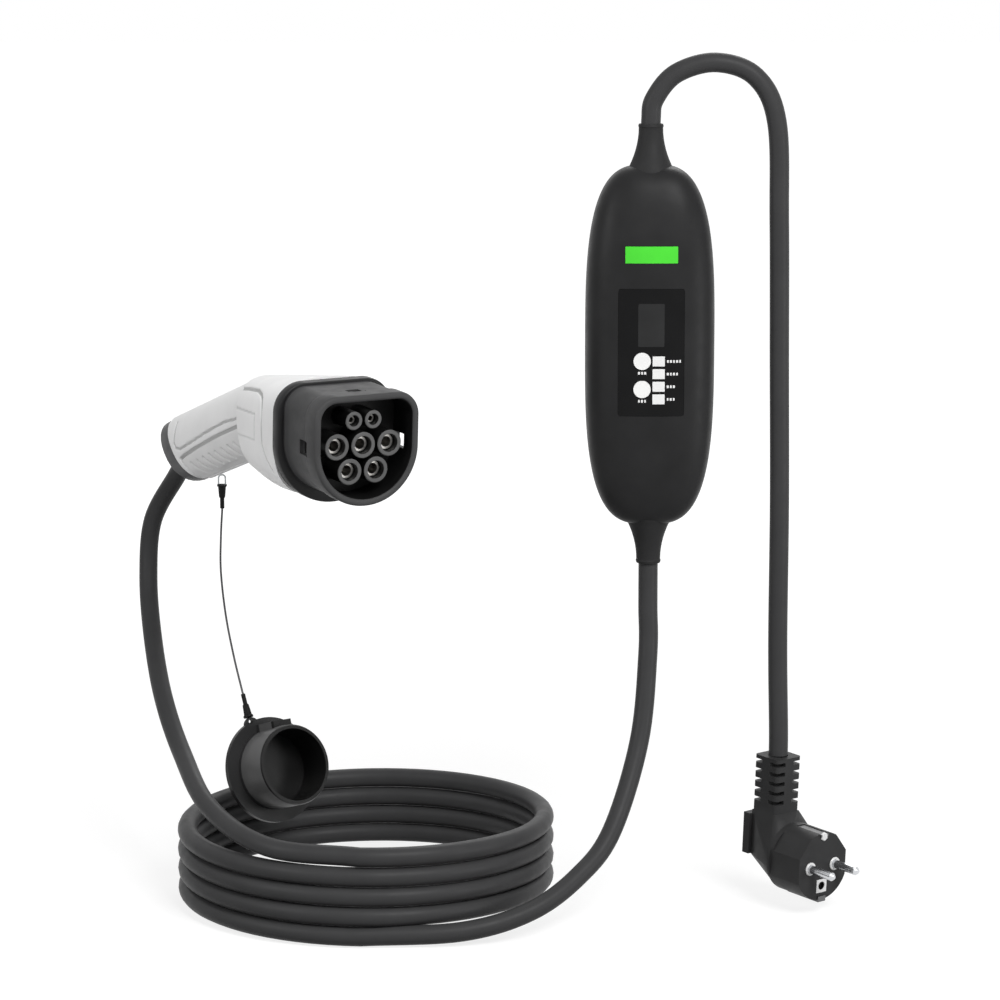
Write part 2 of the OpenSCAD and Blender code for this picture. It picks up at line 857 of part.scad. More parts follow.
// Ring that the live conductors pass through, standing on the board
module current_sensor() {
    color(grey) in_box() translate([0, main_board_y - sensor_r, sensor_z]) difference() {
        union() {
            translate([0, 0, -sensor_h / 2]) cylinder(r = sensor_r, h = sensor_h);
            translate([-sensor_r, 0, -sensor_h / 2]) cube([2 * sensor_r, sensor_r, sensor_h]);
        }
        translate([0, 0, -sensor_h]) cylinder(r = sensor_bore_r, h = 2 * sensor_h);
    }
}

module power_supply() {
    color("#d8b13c") in_box() translate([0, 0, supply_z])
        block_y(supply_size.x, supply_size.y, main_board_y - supply_size.z, main_board_y);
}

module terminal_block(z, ways, pitch) {
    color("#3f7f58") in_box() translate([0, 0, z]) difference() {
        block_y(ways * pitch + 2, terminal_h, main_board_y - terminal_d, main_board_y);
        for (k = [0:ways - 1])
            translate([(k - (ways - 1) / 2) * pitch, main_board_y - terminal_d / 2, -far / 2])
                cylinder(r = wire_r + seat_gap, h = far);
    }
}

module supply_terminals() {
    terminal_block(supply_terminal_z, supply_ways, supply_pitch);
}

module vehicle_terminals() {
    terminal_block(vehicle_terminal_z, vehicle_ways, vehicle_pitch);
}

// Insulated conductors from the stripped end of a cable to its terminals
module conductors(ways, pitch, block_z, bundle_angles) {
    way = sign(block_z);
    start_z = cable_end_z;
    end_z = abs(block_z) - terminal_h / 2;
    drop = main_board_y - terminal_d / 2;
    color("#7a4a32") in_box() for (k = [0:ways - 1]) {
        start = wire_bundle_r * [cos(bundle_angles[k]), sin(bundle_angles[k])];
        x = pitch * (k - (ways - 1) / 2);
        route = [
            [start.x, start.y, way * start_z], [start.x, start.y, way * (start_z - 2)],
            [x, drop, way * (end_z + terminal_h + 1)], [x, drop, way * end_z]
        ];
        rings = tube_rings(route, wire_r - seat_gap, wire_sides);
        polyhedron(points = flat(rings), faces = loft_faces(len(rings), wire_sides));
    }
}

module supply_conductors() {
    conductors(supply_ways, supply_pitch, supply_terminal_z, three_angles);
}

module vehicle_conductors() {
    conductors(vehicle_ways, vehicle_pitch, vehicle_terminal_z, five_angles);
}

module case_screws() {
    color(steel) in_box() for (p = case_screw_at) translate([p.x, 0, p.y]) {
        rod_y(screw_head_r, head_seat_y, head_seat_y + screw_head_t);
        rod_y(case_screw_d / 2 - screw_fit, -front_d * 0.4, head_seat_y);
    }
}

module board_screws() {
    color(steel) in_box() for (p = board_screw_at) translate([p.x, 0, p.y]) {
        rod_y(board_screw_r * 1.9, main_board_y - 1.6, main_board_y);
        rod_y(board_screw_r - 0.1, main_board_y, rear_d - box_wall - 0.3);
    }
}

// Moulded strain relief, turned about the cable: a ring held by the shells, then a concave taper
module relief(cable_d) {
    base = relief_base_d / 2;
    tip = relief_tip_d / 2;
    bore = cable_d / 2 + seat_gap;
    rotate_extrude() polygon(concat(
        [
            [bore, relief_inner_z], [base, relief_inner_z], [base, relief_ring_z[0]],
            [relief_ring_r, relief_ring_z[0]], [relief_ring_r, relief_ring_z[1]], [base, relief_ring_z[1]]
        ],
        [
            for (k = [0:taper_steps])
            let (t = k / taper_steps)
            [mix(tip, base, (1 - t) * (1 - t)), mix(relief_lip_z, relief_reach - 2, t)]
        ],
        [[tip + 0.3, relief_reach - 1.2], [tip, relief_reach], [bore, relief_reach]]
    ));
}

module supply_relief() {
    color(black) in_box() relief(mains_lead_d);
}

module vehicle_relief() {
    color(black) in_box() mirror([0, 0, 1]) relief(vehicle_cable_d);
}

// Saddle over the cable, screwed to the cradle of the rear shell
module cable_clamp(cable_d) {
    difference() {
        translate([0, 0, clamp_z]) block_y(clamp_w, clamp_h, -clamp_t, -seat_gap);
        cylinder(r = cable_d / 2, h = far);
        for (sx = [-1, 1]) translate([sx * clamp_screw_x, 0, clamp_z])
            rod_y(clamp_screw_r + screw_fit, -far, far);
    }
}

module supply_clamp() {
    color(grey) in_box() cable_clamp(mains_lead_d);
}

module vehicle_clamp() {
    color(grey) in_box() mirror([0, 0, 1]) cable_clamp(vehicle_cable_d);
}

module clamp_screws() {
    color(steel) in_box() for (end = [0, 1], sx = [-1, 1]) mirror([0, 0, end])
        translate([sx * clamp_screw_x, 0, clamp_z]) {
            rod_y(2 * clamp_screw_r, -clamp_t - 1.8, -clamp_t);
            rod_y(clamp_screw_r - seat_gap / 2, -clamp_t, clamp_screw_depth - 1);
        }
}

module nose_prism(x0, x1, grow) {
    translate([x0, 0, 0]) rotate([90, 0, 90]) linear_extrude(x1 - x0) polygon(nose_outline(grow));
}

module head_loft(t0, t1, inset, rings, sides) {
    polyhedron(
        points = flat([for (j = [0:rings]) head_ring(mix(t0, t1, j / rings), inset, sides)]),
        faces = loft_faces(rings + 1, sides)
    );
}

module nose_shroud() {
    spigot_t = spigot_len / (head_front_x - head_rear_bottom_x);
    color("#3f4144") at_connector() difference() {
        union() {
            nose_prism(head_front_x, -rim_len, -waist);
            nose_prism(-rim_len - slab, 0, 0);
            translate([0, 0, -flange_drop]) nose_prism(head_front_x, -nose_len, flange_step);
            head_loft(0, spigot_t, grip_wall + 4 * seat_gap, 2, 24);
        }
        nose_prism(-recess_depth - carrier_t, 1, -nose_wall);
        nose_prism(-far, 1, -nose_wall - 3);
        translate([lock_hole_x, 0, -1]) block_y(lock_hole.x, lock_hole.y, -far, far);
        translate([lock_hole_x, 0, nose_top])
            cube([lock_hole.x, lock_hole.y, 4 * nose_wall], center = true);
    }
}

module power_places() {
    for (y = [-contact_pitch, 0, contact_pitch]) translate([0, y, 0]) children();
    for (y = [-contact_pitch / 2, contact_pitch / 2]) translate([0, y, lower_row_z]) children();
}

module signal_places() {
    for (y = [-signal_pitch / 2, signal_pitch / 2]) translate([0, y, upper_row_z]) children();
}

module contact_carrier() {
    floor_x = -recess_depth;
    color(deep_black) at_connector() difference() {
        union() {
            nose_prism(floor_x - carrier_t, floor_x, -nose_wall - seat_gap);
            power_places() rod_x(tower_d / 2, floor_x - carrier_t, tower_front);
            signal_places() rod_x(small_tower_d / 2, floor_x - carrier_t, tower_front);
        }
        power_places() {
            rod_x(power_sleeve_r + seat_gap, -far, 1);
            rod_x(power_sleeve_r + tower_mouth, contact_mouth, 1);
        }
        signal_places() {
            rod_x(signal_sleeve_r + seat_gap, -far, 1);
            rod_x(signal_sleeve_r + tower_mouth, contact_mouth, 1);
        }
    }
}

// Turned socket contact with a collar behind the carrier and a tail for the conductor
module contact(y, z, sleeve_r, pin_d) {
    back = -recess_depth - carrier_t;
    color(brass) at_connector() translate([0, y, z]) difference() {
        union() {
            rod_x(sleeve_r, back - contact_tail, contact_mouth);
            rod_x(sleeve_r + 1.2, back - 2.5, back);
        }
        rod_x(pin_d / 2, contact_mouth - contact_bore_len, 1);
        rod_x(sleeve_r * 0.65, back - contact_tail - 1, back - contact_tail + 8);
    }
}

module contact_pe() {
    contact(0, 0, power_sleeve_r, power_pin_d);
}

module contact_n() {
    contact(contact_pitch, 0, power_sleeve_r, power_pin_d);
}

module contact_l1() {
    contact(-contact_pitch, 0, power_sleeve_r, power_pin_d);
}

module contact_l2() {
    contact(-contact_pitch / 2, lower_row_z, power_sleeve_r, power_pin_d);
}

module contact_l3() {
    contact(contact_pitch / 2, lower_row_z, power_sleeve_r, power_pin_d);
}

module contact_cp() {
    contact(signal_pitch / 2, upper_row_z, signal_sleeve_r, signal_pin_d);
}

module contact_pp() {
    contact(-signal_pitch / 2, upper_row_z, signal_sleeve_r, signal_pin_d);
}

module grip_loft(inset, s0, s1, rings, sides) {
    polyhedron(
        points = flat([
            for (j = [0:rings])
            let (s = mix(s0, s1, j / rings))
            grip_ring(s, inset, inset == 0 && j == rings ? 0.95 : 1, sides)
        ]),
        faces = loft_faces(rings + 1, sides)
    );
}

module connector_body() {
    difference() {
        union() {
            head_loft(0, 1, 0, 7, 32);
            in_grip() grip_loft(0, 0.05, 1, 7, 32);
        }
        head_loft(-0.05, 0.96, grip_wall, 4, 24);
        in_grip() grip_loft(grip_wall, 0, 1.08, 4, 24);
        in_grip() for (k = [0:finger_grooves - 1]) translate([finger_first_x + k * finger_pitch, 0, 0])
            finger_groove();
    }
}

// Groove across the underside of the grip, on both sides, that a finger rests in
module finger_groove() {
    for (side = [-1, 1]) translate([0, side * grip_half_w * 0.98, -grip_half_h * 0.62])
        rotate([side * 38, 0, 0]) cube([finger_w, 2 * finger_depth, grip_half_h * 0.5], center = true);
}

// Room for the screws: a clear hole and head seat in the far half, a pilot hole in the near one
module shell_screw_places() {
    for (p = shell_screw_at) translate([p.x, 0, p.y]) children();
    in_grip() for (x = grip_screw_x) translate([x, 0, 0]) children();
}

module shell_half(side) {
    difference() {
        union() {
            intersection() {
                connector_body();
                translate([-far, side > 0 ? 0 : -far, -far / 2]) cube([2 * far, far, far]);
            }
            for (p = shell_screw_at) translate([p.x, 0, p.y])
                rod_y(shell_boss_r, side > 0 ? 0 : -head_boss_len(p), side > 0 ? head_boss_len(p) : 0);
            in_grip() for (x = grip_screw_x) translate([x, 0, 0])
                rod_y(shell_boss_r, side > 0 ? 0 : -shell_boss_len, side > 0 ? shell_boss_len : 0);
        }
        if (side > 0) shell_screw_places() {
            rod_y(shell_screw_r + seat_gap, -1, far);
            rod_y(shell_screw_r * 2 + slide_gap, shell_head_y, far);
        }
        if (side < 0) shell_screw_places() rod_y(shell_screw_r - screw_pilot, 1 - shell_boss_len, 1);
    }
}

// A boss in the head reaches halfway into the shell's wall
function head_boss_len(p) =
    let (
        fall = (head_rear_top - p.y) / (head_rear_top + nose_bottom + flange_step),
        rear_x = mix(head_rear_top_x, head_rear_bottom_x, fall),
        t = (head_front_x - p.x + shell_boss_r) / (head_front_x - rear_x)
    )
    mix(nose_half_w + flange_step - 1.2, head_rear_half_w, t) - grip_wall / 2;

module connector_shell_right() {
    color(white) at_connector() shell_half(-1);
}

module connector_shell_left() {
    color(white) at_connector() shell_half(1);
}

module connector_screws() {
    color(steel) at_connector() shell_screw_places() {
        rod_y(shell_screw_r * 2, shell_head_y, shell_head_y + shell_head_t);
        rod_y(shell_screw_r - screw_fit, 3 - shell_boss_len, shell_head_y);
    }
}

// Domed end of the grip that the cable leaves through, with a spigot inside the shell
module rear_collar() {
    rings = len(collar_profile);
    spigot_start = collar_t / 2 * cos(grip_slant) - 0.5;
    color(grey) difference() {
        union() {
            at_connector() in_grip() polyhedron(
                points = flat([for (q = collar_profile) collar_ring(collar_t * q[0], q[1], 32)]),
                faces = [for (f = loft_faces(rings, 32)) [for (k = [len(f) - 1:-1:0]) f[k]]]
            );
            at_collar()
                rod_x(grip_half_w - grip_wall - 2, spigot_start, spigot_start + collar_spigot_len);
        }
        at_collar() rod_x(vehicle_cable_d / 2 + seat_gap, -far, far);
    }
}

// Stepped sleeve on an end of the tether
module crimp(r) {
    rotate_extrude() polygon([
        [0, 0], [r * 0.55, 0], [r * 0.55, crimp_len * 0.42], [r * 0.8, crimp_len * 0.48],
        [r, crimp_len * 0.9], [r * 1.25, crimp_len * 0.93], [r * 1.25, crimp_len], [0, crimp_len]
    ]);
}

// Clear loop between the underside of the grip and the upper crimp
module tether_loop() {
    color(clear) translate(tether_top) {
        translate([0, 0, -loop_r - loop_wire_r]) rotate([90, 0, 0]) rotate_extrude(angle = 180)
            translate([loop_r, 0]) circle(r = loop_wire_r, $fn = 16);
        for (sx = [-1, 1]) translate([sx * loop_r, 0, -loop_r - loop_wire_r - loop_drop])
            cylinder(r = loop_wire_r, h = loop_drop, $fn = 16);
    }
}

module upper_crimp() {
    color(deep_black) translate(tether_route[0]) crimp(crimp_r);
}

module tether_wire() {
    c = curve(tether_route, 2);
    color(steel) polyhedron(points = flat(tube_rings(c, tether_d / 2, 8)), faces = loft_faces(len(c), 8));
}

module lower_crimp() {
    last = len(tether_route) - 1;
    way = tether_route[last] - tether_route[last - 1];
    end = tether_route[last] + crimp_len * unit(way);
    eye_way = unit(lug_tip - end);
    eye = [end - eye_r * eye_way, lug_tip - eye_gap * eye_way];
    color(deep_black) {
        translate(tether_route[last])
            rotate([0, acos(way.z / norm(way)), atan2(way.y, way.x)]) crimp(crimp_r);
        polyhedron(points = flat(tube_rings(eye, eye_r, 8)), faces = loft_faces(2, 8));
    }
}

// Cup that closes the nose, turned about its axis, with a key rib and a lug for the tether
module protective_cap() {
    skirt = cap_d / 2;
    rim = cap_flange_d / 2;
    inner = skirt - cap_wall;
    lug_back = lug_set_back - cap_depth - cap_base_t;
    lug_front = -cap_depth - lug_set_back;
    color(deep_black) at_cap() difference() {
        union() {
            rotate([0, 90, 0]) rotate_extrude() polygon([
                [0, -cap_depth - cap_base_t], [rim, -cap_depth - cap_base_t], [rim, -cap_depth],
                [skirt, -cap_depth], [skirt, -cap_lip], [skirt - cap_lip / 2, 0], [inner, 0],
                [inner, -cap_depth], [0, -cap_depth]
            ]);
            translate([-cap_depth - cap_base_t / 2, -key_w / 2, skirt - cap_wall / 2])
                cube([cap_depth - key_set_back, key_w, key_h + cap_wall / 2]);
            rotate([lug_turn, 0, 0]) {
                translate([0, 0, lug_reach - lug_r]) rod_x(lug_r, lug_back, lug_front);
                translate([lug_back, -lug_r, rim - lug_root])
                    cube([lug_front - lug_back, 2 * lug_r, lug_reach - lug_r - rim + lug_root]);
            }
        }
        rotate([lug_turn, 0, 0]) translate([0, 0, lug_reach - lug_r / 2])
            rod_x(lug_hole_r, -far, -cap_depth);
    }
}

module rounded_square(side, corner) {
    for (size = [[side - 2 * corner, side], [side, side - 2 * corner]]) square(size, center = true);
    for (sx = [-1, 1], sy = [-1, 1])
        translate([sx * (side / 2 - corner), sy * (side / 2 - corner)]) circle(r = corner, $fn = 24);
}

// Slot across the corners of the neck between two ribs
module neck_slot() {
    linear_extrude(slot_h) difference() {
        square(2 * neck_w, center = true);
        square([web_w, 3 * neck_w], center = true);
        square([3 * neck_w, web_w], center = true);
        circle(r = mains_lead_d / 2 + 1.6);
    }
}

module plug_body() {
    r = plug_d / 2;
    color(black) at_plug() difference() {
        union() {
            rod_x(r, -barrel_len, 0);
            hull() {
                rod_x(r - shoulder_step, -barrel_len - slab, -barrel_len + shoulder_lap, $fn = 32);
                translate([-plug_reach - neck_w / 2, -neck_w / 2, heel_z]) cube([1, neck_w, heel_h]);
                translate([-plug_reach + neck_w / 2 - 1, -neck_w / 2, r - brow_sink])
                    cube([1, neck_w, brow_h]);
            }
            translate([-plug_reach, 0, 0]) linear_extrude(neck_top) rounded_square(neck_w, neck_corner);
            translate([-plug_reach - neck_w / 2 - tab_t, 0, tab_z]) rotate([90, 0, 90])
                linear_extrude(tab_t + 1) square([tab_w, tab_h], center = true);
        }
        for (k = [0:neck_ribs - 2])
            translate([-plug_reach, 0, neck_top - rib_pitch * (k + 1) + slot_h / 2]) neck_slot();
        translate([-plug_reach, 0, neck_top - lead_depth])
            cylinder(r = mains_lead_d / 2 + seat_gap, h = far);
        for (sy = [-1, 1]) translate([0, sy * mains_pin_pitch / 2, 0])
            pin_room();
        earth_channels();
        barrel_flats();
    }
}

// Flats on both sides of the barrel, with a slanted facet above each
module barrel_flats() {
    r = plug_d / 2;
    for (side = [0, 1]) mirror([0, side, 0]) {
        translate([shoulder - barrel_len, r - side_flat, -r]) cube([2 * barrel_len, r, 2 * r]);
        rotate([facet_turn, 0, 0]) translate([facet_start, r - facet_depth, -r])
            cube([2 * barrel_len, r, 2 * r]);
    }
}

// Bore that the root of a pin is pressed into
module pin_room() {
    rod_x(pin_root_r + seat_gap, -pin_root, 1);
}

// Channels along the barrel for the earth clips, and the pocket of the earth socket
module earth_channels() {
    r = plug_d / 2;
    translate([clip_proud - clip_len, -clip_w / 2, r - channel_t]) cube([clip_len, clip_w, r]);
    translate([rail_start, -clip_w / 2, -2 * r + channel_t]) cube([2 * barrel_len, clip_w, r]);
    translate([-socket_len / 2, 0, socket_z])
        cube([socket_len, socket_side, socket_side], center = true);
}

module mains_pin(side) {
    color(steel) at_plug() translate([0, side * mains_pin_pitch / 2, 0]) rotate([0, 90, 0]) {
        rotate_extrude() polygon([
            [0, -pin_root], [pin_root_r, -pin_root], [pin_root_r, 0],
            [mains_pin_d / 2, 0], [mains_pin_d / 2, mains_pin_len - pin_tip_len],
            [mains_pin_d / 2 - pin_tip, mains_pin_len], [0, mains_pin_len]
        ]);
    }
}

module line_pin() {
    mains_pin(-1);
}

module neutral_pin() {
    mains_pin(1);
}

module earth_clips() {
    r = plug_d / 2;
    w = clip_w - 2 * seat_gap;
    rail_t = channel_t + rail_proud - seat_gap;
    color(steel) at_plug() {
        translate([clip_proud - clip_len + seat_gap, -w / 2, r - channel_t + seat_gap])
            cube([clip_len - seat_gap, w, clip_t]);
        translate([rail_start + seat_gap, -w / 2, -r - rail_proud])
            cube([clip_proud - rail_start - seat_gap, w, rail_t]);
    }
}

module earth_socket() {
    color(steel) at_plug() difference() {
        translate([-socket_len / 2 + seat_gap, 0, socket_z])
            cube([socket_len, socket_side - 2 * seat_gap, socket_side - 2 * seat_gap], center = true);
        translate([0, 0, socket_z]) rod_x(socket_bore_r, -socket_len - 1, 1);
    }
}

module vehicle_cable_coil() {
    color(cable_black) translate(coil_pos) rotate_extrude($fn = 96)
        translate([coil_r - vehicle_cable_d / 2, 0]) square([vehicle_cable_d, coil_h]);
}

module cable(route, d, steps) {
    c = curve(route, steps);
    color(cable_black) polyhedron(points = flat(tube_rings(c, d / 2, 10)), faces = loft_faces(len(c), 10));
}

module vehicle_cable_to_connector() {
    cable(connector_cable_route, vehicle_cable_d, 2);
}

module vehicle_cable_to_box() {
    cable(box_cable_route, vehicle_cable_d, 2);
}

module mains_lead() {
    cable(mains_route, mains_lead_d, 2);
}

front_shell();
rear_shell();
housing_seal();
panel_overlay();
display_window();
display_module();
display_board();
upper_button();
lower_button();
key_switches();
status_lights();
badge_plate();
main_board();
line_relay();
neutral_relay();
current_sensor();
power_supply();
supply_terminals();
vehicle_terminals();
case_screws();
board_screws();
supply_relief();
vehicle_relief();
supply_clamp();
vehicle_clamp();
clamp_screws();
supply_conductors();
vehicle_conductors();
connector_shell_right();
connector_shell_left();
nose_shroud();
contact_carrier();
contact_pe();
contact_n();
contact_l1();
contact_l2();
contact_l3();
contact_cp();
contact_pp();
rear_collar();
connector_screws();
tether_loop();
upper_crimp();
tether_wire();
lower_crimp();
protective_cap();
plug_body();
line_pin();
neutral_pin();
earth_clips();
earth_socket();
vehicle_cable_coil();
vehicle_cable_to_connector();
vehicle_cable_to_box();
mains_lead();
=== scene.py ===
# %% [markdown]
# A portable charger for electric cars, dressed over its CAD solids.
# The imported model is loaded first and is never moved.

# %% Load the frame
import json
import math

import bmesh
import bpy
import numpy as np
from mathutils import Matrix, Vector


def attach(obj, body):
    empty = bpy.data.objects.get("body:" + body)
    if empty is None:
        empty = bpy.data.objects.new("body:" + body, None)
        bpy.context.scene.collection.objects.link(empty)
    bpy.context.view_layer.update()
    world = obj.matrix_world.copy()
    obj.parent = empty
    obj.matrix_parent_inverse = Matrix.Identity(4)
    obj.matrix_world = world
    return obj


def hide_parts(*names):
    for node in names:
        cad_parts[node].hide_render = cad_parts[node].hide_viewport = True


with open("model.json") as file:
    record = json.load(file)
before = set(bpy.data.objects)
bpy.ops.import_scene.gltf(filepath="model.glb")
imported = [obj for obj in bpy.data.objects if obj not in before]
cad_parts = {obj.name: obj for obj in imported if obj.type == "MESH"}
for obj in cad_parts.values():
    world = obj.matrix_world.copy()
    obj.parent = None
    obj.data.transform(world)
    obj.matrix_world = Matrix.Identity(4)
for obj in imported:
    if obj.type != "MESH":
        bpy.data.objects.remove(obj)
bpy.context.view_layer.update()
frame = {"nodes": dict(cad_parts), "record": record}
NODES = frame["nodes"]

# %% [markdown]
# The photograph was taken with a long lens from a little above. A camera at 144.6 mm gives the
# same foreshortening of the coil.

# %% Camera
CAMERA_LENS, SENSOR_WIDTH = 144.6, 36  # millimetres
CAMERA_PLACE = (-0.08394, -2.2555, 0.3058)
CAMERA_TILT = 80  # degrees from looking straight down


def placed(name, data):
    """New object in the scene that shows the data."""
    piece = bpy.data.objects.new(name, data)
    scene.collection.objects.link(piece)
    return piece


scene = bpy.context.scene
scene.view_settings.view_transform = "Standard"
optics = bpy.data.cameras.new("studio_camera")
optics.lens = CAMERA_LENS
optics.sensor_width = SENSOR_WIDTH
optics.clip_end = 20
camera = placed("studio_camera", optics)
camera.location = CAMERA_PLACE
camera.rotation_euler = (math.radians(CAMERA_TILT), 0, 0)
scene.camera = camera
print("camera", tuple(camera.location))

# %% [markdown]
# Materials first need a few small helpers. Each finish is a Principled shader whose colour,
# roughness and bump are broken up by noise on Object coordinates, so that no surface is one flat
# colour. Sizes in the noise are in metres, as the object is.

# %% Material helpers
NOISE_SPAN = (0.3, 0.7)  # most of a noise's values lie in here
CLOUD_SCALE, GLOSS_SCALE = 60, 140


def fill(tree, node, inputs):
    """Links an input that is given a socket, and writes any other value into it."""
    for name, value in inputs.items():
        if isinstance(value, bpy.types.NodeSocket):
            tree.links.new(value, node.inputs[name])
        else:
            node.inputs[name].default_value = value
    return node


def add(tree, kind, inputs=None, **options):
    """New node; its options come first, because they decide which inputs it has."""
    node = tree.nodes.new(kind)
    for name, value in options.items():
        setattr(node, name, value)
    return fill(tree, node, inputs or {})


def new_material(name):
    material = bpy.data.materials.new(name)
    material.use_nodes = True
    tree = material.node_tree
    return material, tree, tree.nodes["Principled BSDF"]


def object_coords(tree):
    return add(tree, "ShaderNodeTexCoord").outputs["Object"]


def noise(tree, scale, detail):
    return add(tree, "ShaderNodeTexNoise",
               {"Vector": object_coords(tree), "Scale": scale, "Detail": detail}).outputs["Fac"]


def ramp(tree, value, low, high):
    node = add(tree, "ShaderNodeValToRGB", {"Fac": value})
    for element, position, colour in zip(node.color_ramp.elements, NOISE_SPAN, (low, high)):
        element.position = position
        element.color = (*colour, 1)
    return node.outputs["Color"]


def to_range(tree, value, bottom, top, low, high):
    return add(tree, "ShaderNodeMapRange", {
        "Value": value, "From Min": bottom, "From Max": top, "To Min": low, "To Max": high,
    }).outputs["Result"]


def moulded(name, colour, rough=0.4, spread=0.06, grain=2600, grain_depth=0.00002, shade=0.12,
            specular=0.5, metallic=0.0):
    """Moulded plastic or rubber: cloudy colour, uneven gloss and a fine spark-eroded grain."""
    material, tree, shader = new_material(name)
    low, high = [[min(1, c * share) for c in colour] for share in (1 - shade, 1 + shade)]
    gloss = noise(tree, GLOSS_SCALE, 5)
    fill(tree, shader, {
        "Base Color": ramp(tree, noise(tree, CLOUD_SCALE, 4), low, high),
        "Roughness": to_range(tree, gloss, *NOISE_SPAN, rough - spread, rough + spread),
        "Specular IOR Level": specular,
        "Metallic": metallic,
    })
    if grain_depth:
        bump = add(tree, "ShaderNodeBump",
                   {"Height": noise(tree, grain, 2), "Strength": 0.5, "Distance": grain_depth})
        fill(tree, shader, {"Normal": bump.outputs["Normal"]})
    return material


print("noise scales", CLOUD_SCALE, GLOSS_SCALE)

# %% [markdown]
# The finishes of this charger: satin black for the box, soft rubber for reliefs and cables, pale
# moulded plastic for the grip, and a few metals. A finish could be made by hand in the shader
# editor; one function for all keeps them alike. The grip's finish is painted darker where the
# piece's own shade attribute is high: painted shade in its grooves and seams.

# %% Finishes
FINISH = {
    "box_black": moulded("satin_black_case", (0.0175, 0.0175, 0.018), 0.42, 0.05, specular=0.1),
    "relief_rubber": moulded("relief_rubber", (0.026, 0.026, 0.0265), 0.55, specular=0.08),
    "panel_black": moulded("gloss_panel", (0.0068, 0.0068, 0.0071), 0.26, 0.03,
                           grain_depth=0, specular=0.08),
    "display_glass": moulded("display_glass", (0.0238, 0.024, 0.0244), 0.22, 0.03,
                             grain_depth=0, specular=0.1),
    "button_white": moulded("button_white", (0.84, 0.84, 0.83), shade=0.03),
    "light_clear": moulded("light_white", [0.8] * 3, 0.32, shade=0.03),
    "mark_white": moulded("mark_white", [0.8] * 3, 0.45, shade=0.03, grain_depth=0),
    "badge_green": moulded("badge_green", (0.072, 0.66, 0.04), shade=0.05, specular=0.2),
    "board": moulded("board_green", (0.02, 0.1, 0.04), 0.45),
    "inner_black": moulded("inner_black", [0.006] * 3, 0.5, specular=0.2),
    "supply_yellow": moulded("supply_yellow", (0.6, 0.4, 0.05), 0.45),
    "terminal_green": moulded("terminal_green", (0.03, 0.16, 0.07), 0.45),
    "steel": moulded("bright_steel", (0.62, 0.63, 0.65), 0.24, 0.06, 4000, 0.00001, 0.08, metallic=1.0),
    "clamp_grey": moulded("clamp_grey", (0.12, 0.12, 0.125), 0.5),
    "wire": moulded("wire_brown", (0.2, 0.06, 0.03), 0.45),
    "grip_white": moulded("grip_white", [0.9] * 3, 0.42, 0.06, 2200, 0.00003, 0.025, specular=0.4),
    "nose_grey": moulded("nose_grey", (0.055, 0.055, 0.056), 0.5, 0.06, 1800, 0.00004, specular=0.12),
    "flange_black": moulded("flange_black", (0.007, 0.007, 0.0075), 0.42, 0.05, 1800,
                            0.00003, specular=0.2),
    "carrier_black": moulded("carrier_black", [0.004] * 3, 0.5, 0.05, specular=0.15),
    "tower_grey": moulded("tower_grey", [0.1] * 3, 0.45, 0.05, specular=0.2),
    "contact_metal": moulded("contact_silver", (0.38, 0.37, 0.35), 0.34, 0.08, 4000,
                             0.00001, 0.1, metallic=1.0),
    "collar_grey": moulded("collar_grey", (0.085, 0.085, 0.087), 0.5, specular=0.12),
    "loop_clear": moulded("loop_clear", (0.6, 0.63, 0.64), 0.25, shade=0.05),
    "crimp_black": moulded("crimp_black", [0.004] * 3, 0.5, specular=0.12),
    "cap_black": moulded("cap_black", (0.095, 0.095, 0.0955), 0.36, 0.05, specular=0.15),
    "plug_black": moulded("plug_black", (0.03, 0.03, 0.0305), 0.45, specular=0.1),
    "clip_metal": moulded("clip_metal", (0.12, 0.12, 0.122), 0.45, 0.06, 4000,
                          0.00001, 0.1, metallic=1.0),
    "socket_white": moulded("socket_pale", [0.7] * 3, 0.35, shade=0.04),
    "cable_rubber": moulded("cable_rubber", (0.044, 0.044, 0.045), 0.42, 0.05, 1500,
                            0.00003, 0.05, specular=0.08),
    "tether_wire": moulded("tether_wire", (0.05, 0.05, 0.052), 0.4, 0.05, metallic=0.6),
}


def tinted(material, mask, colour):
    """Lays a colour over what the finish has so far, where the mask is 1."""
    tree = material.node_tree
    shader = tree.nodes["Principled BSDF"]
    so_far = shader.inputs["Base Color"].links[0].from_socket
    layers = {"Factor": mask, "A": so_far, "B": (*colour, 1)}
    blend = add(tree, "ShaderNodeMix", layers, data_type="RGBA")
    fill(tree, shader, {"Base Color": blend.outputs["Result"]})


# Painted shade: the grip's colour is mixed towards dark grey where the skin's shade attribute is high.
grip_finish = FINISH["grip_white"]
painted_shade_mark = add(grip_finish.node_tree, "ShaderNodeAttribute", attribute_name="painted_shade")
tinted(grip_finish, painted_shade_mark.outputs["Fac"], [0.27] * 3)
SLOT_OF = {part["node"]: part["material_slot"] for part in frame["record"]["subparts"]}
print("finishes", len(FINISH))

# %% [markdown]
# A CAD node comes in as loose flat triangles. A short Geometry Nodes tree on it welds them and
# shades them smooth, but keeps an edge sharp where the faces turn by more than an angle. The
# vertices of the node itself aren't touched.

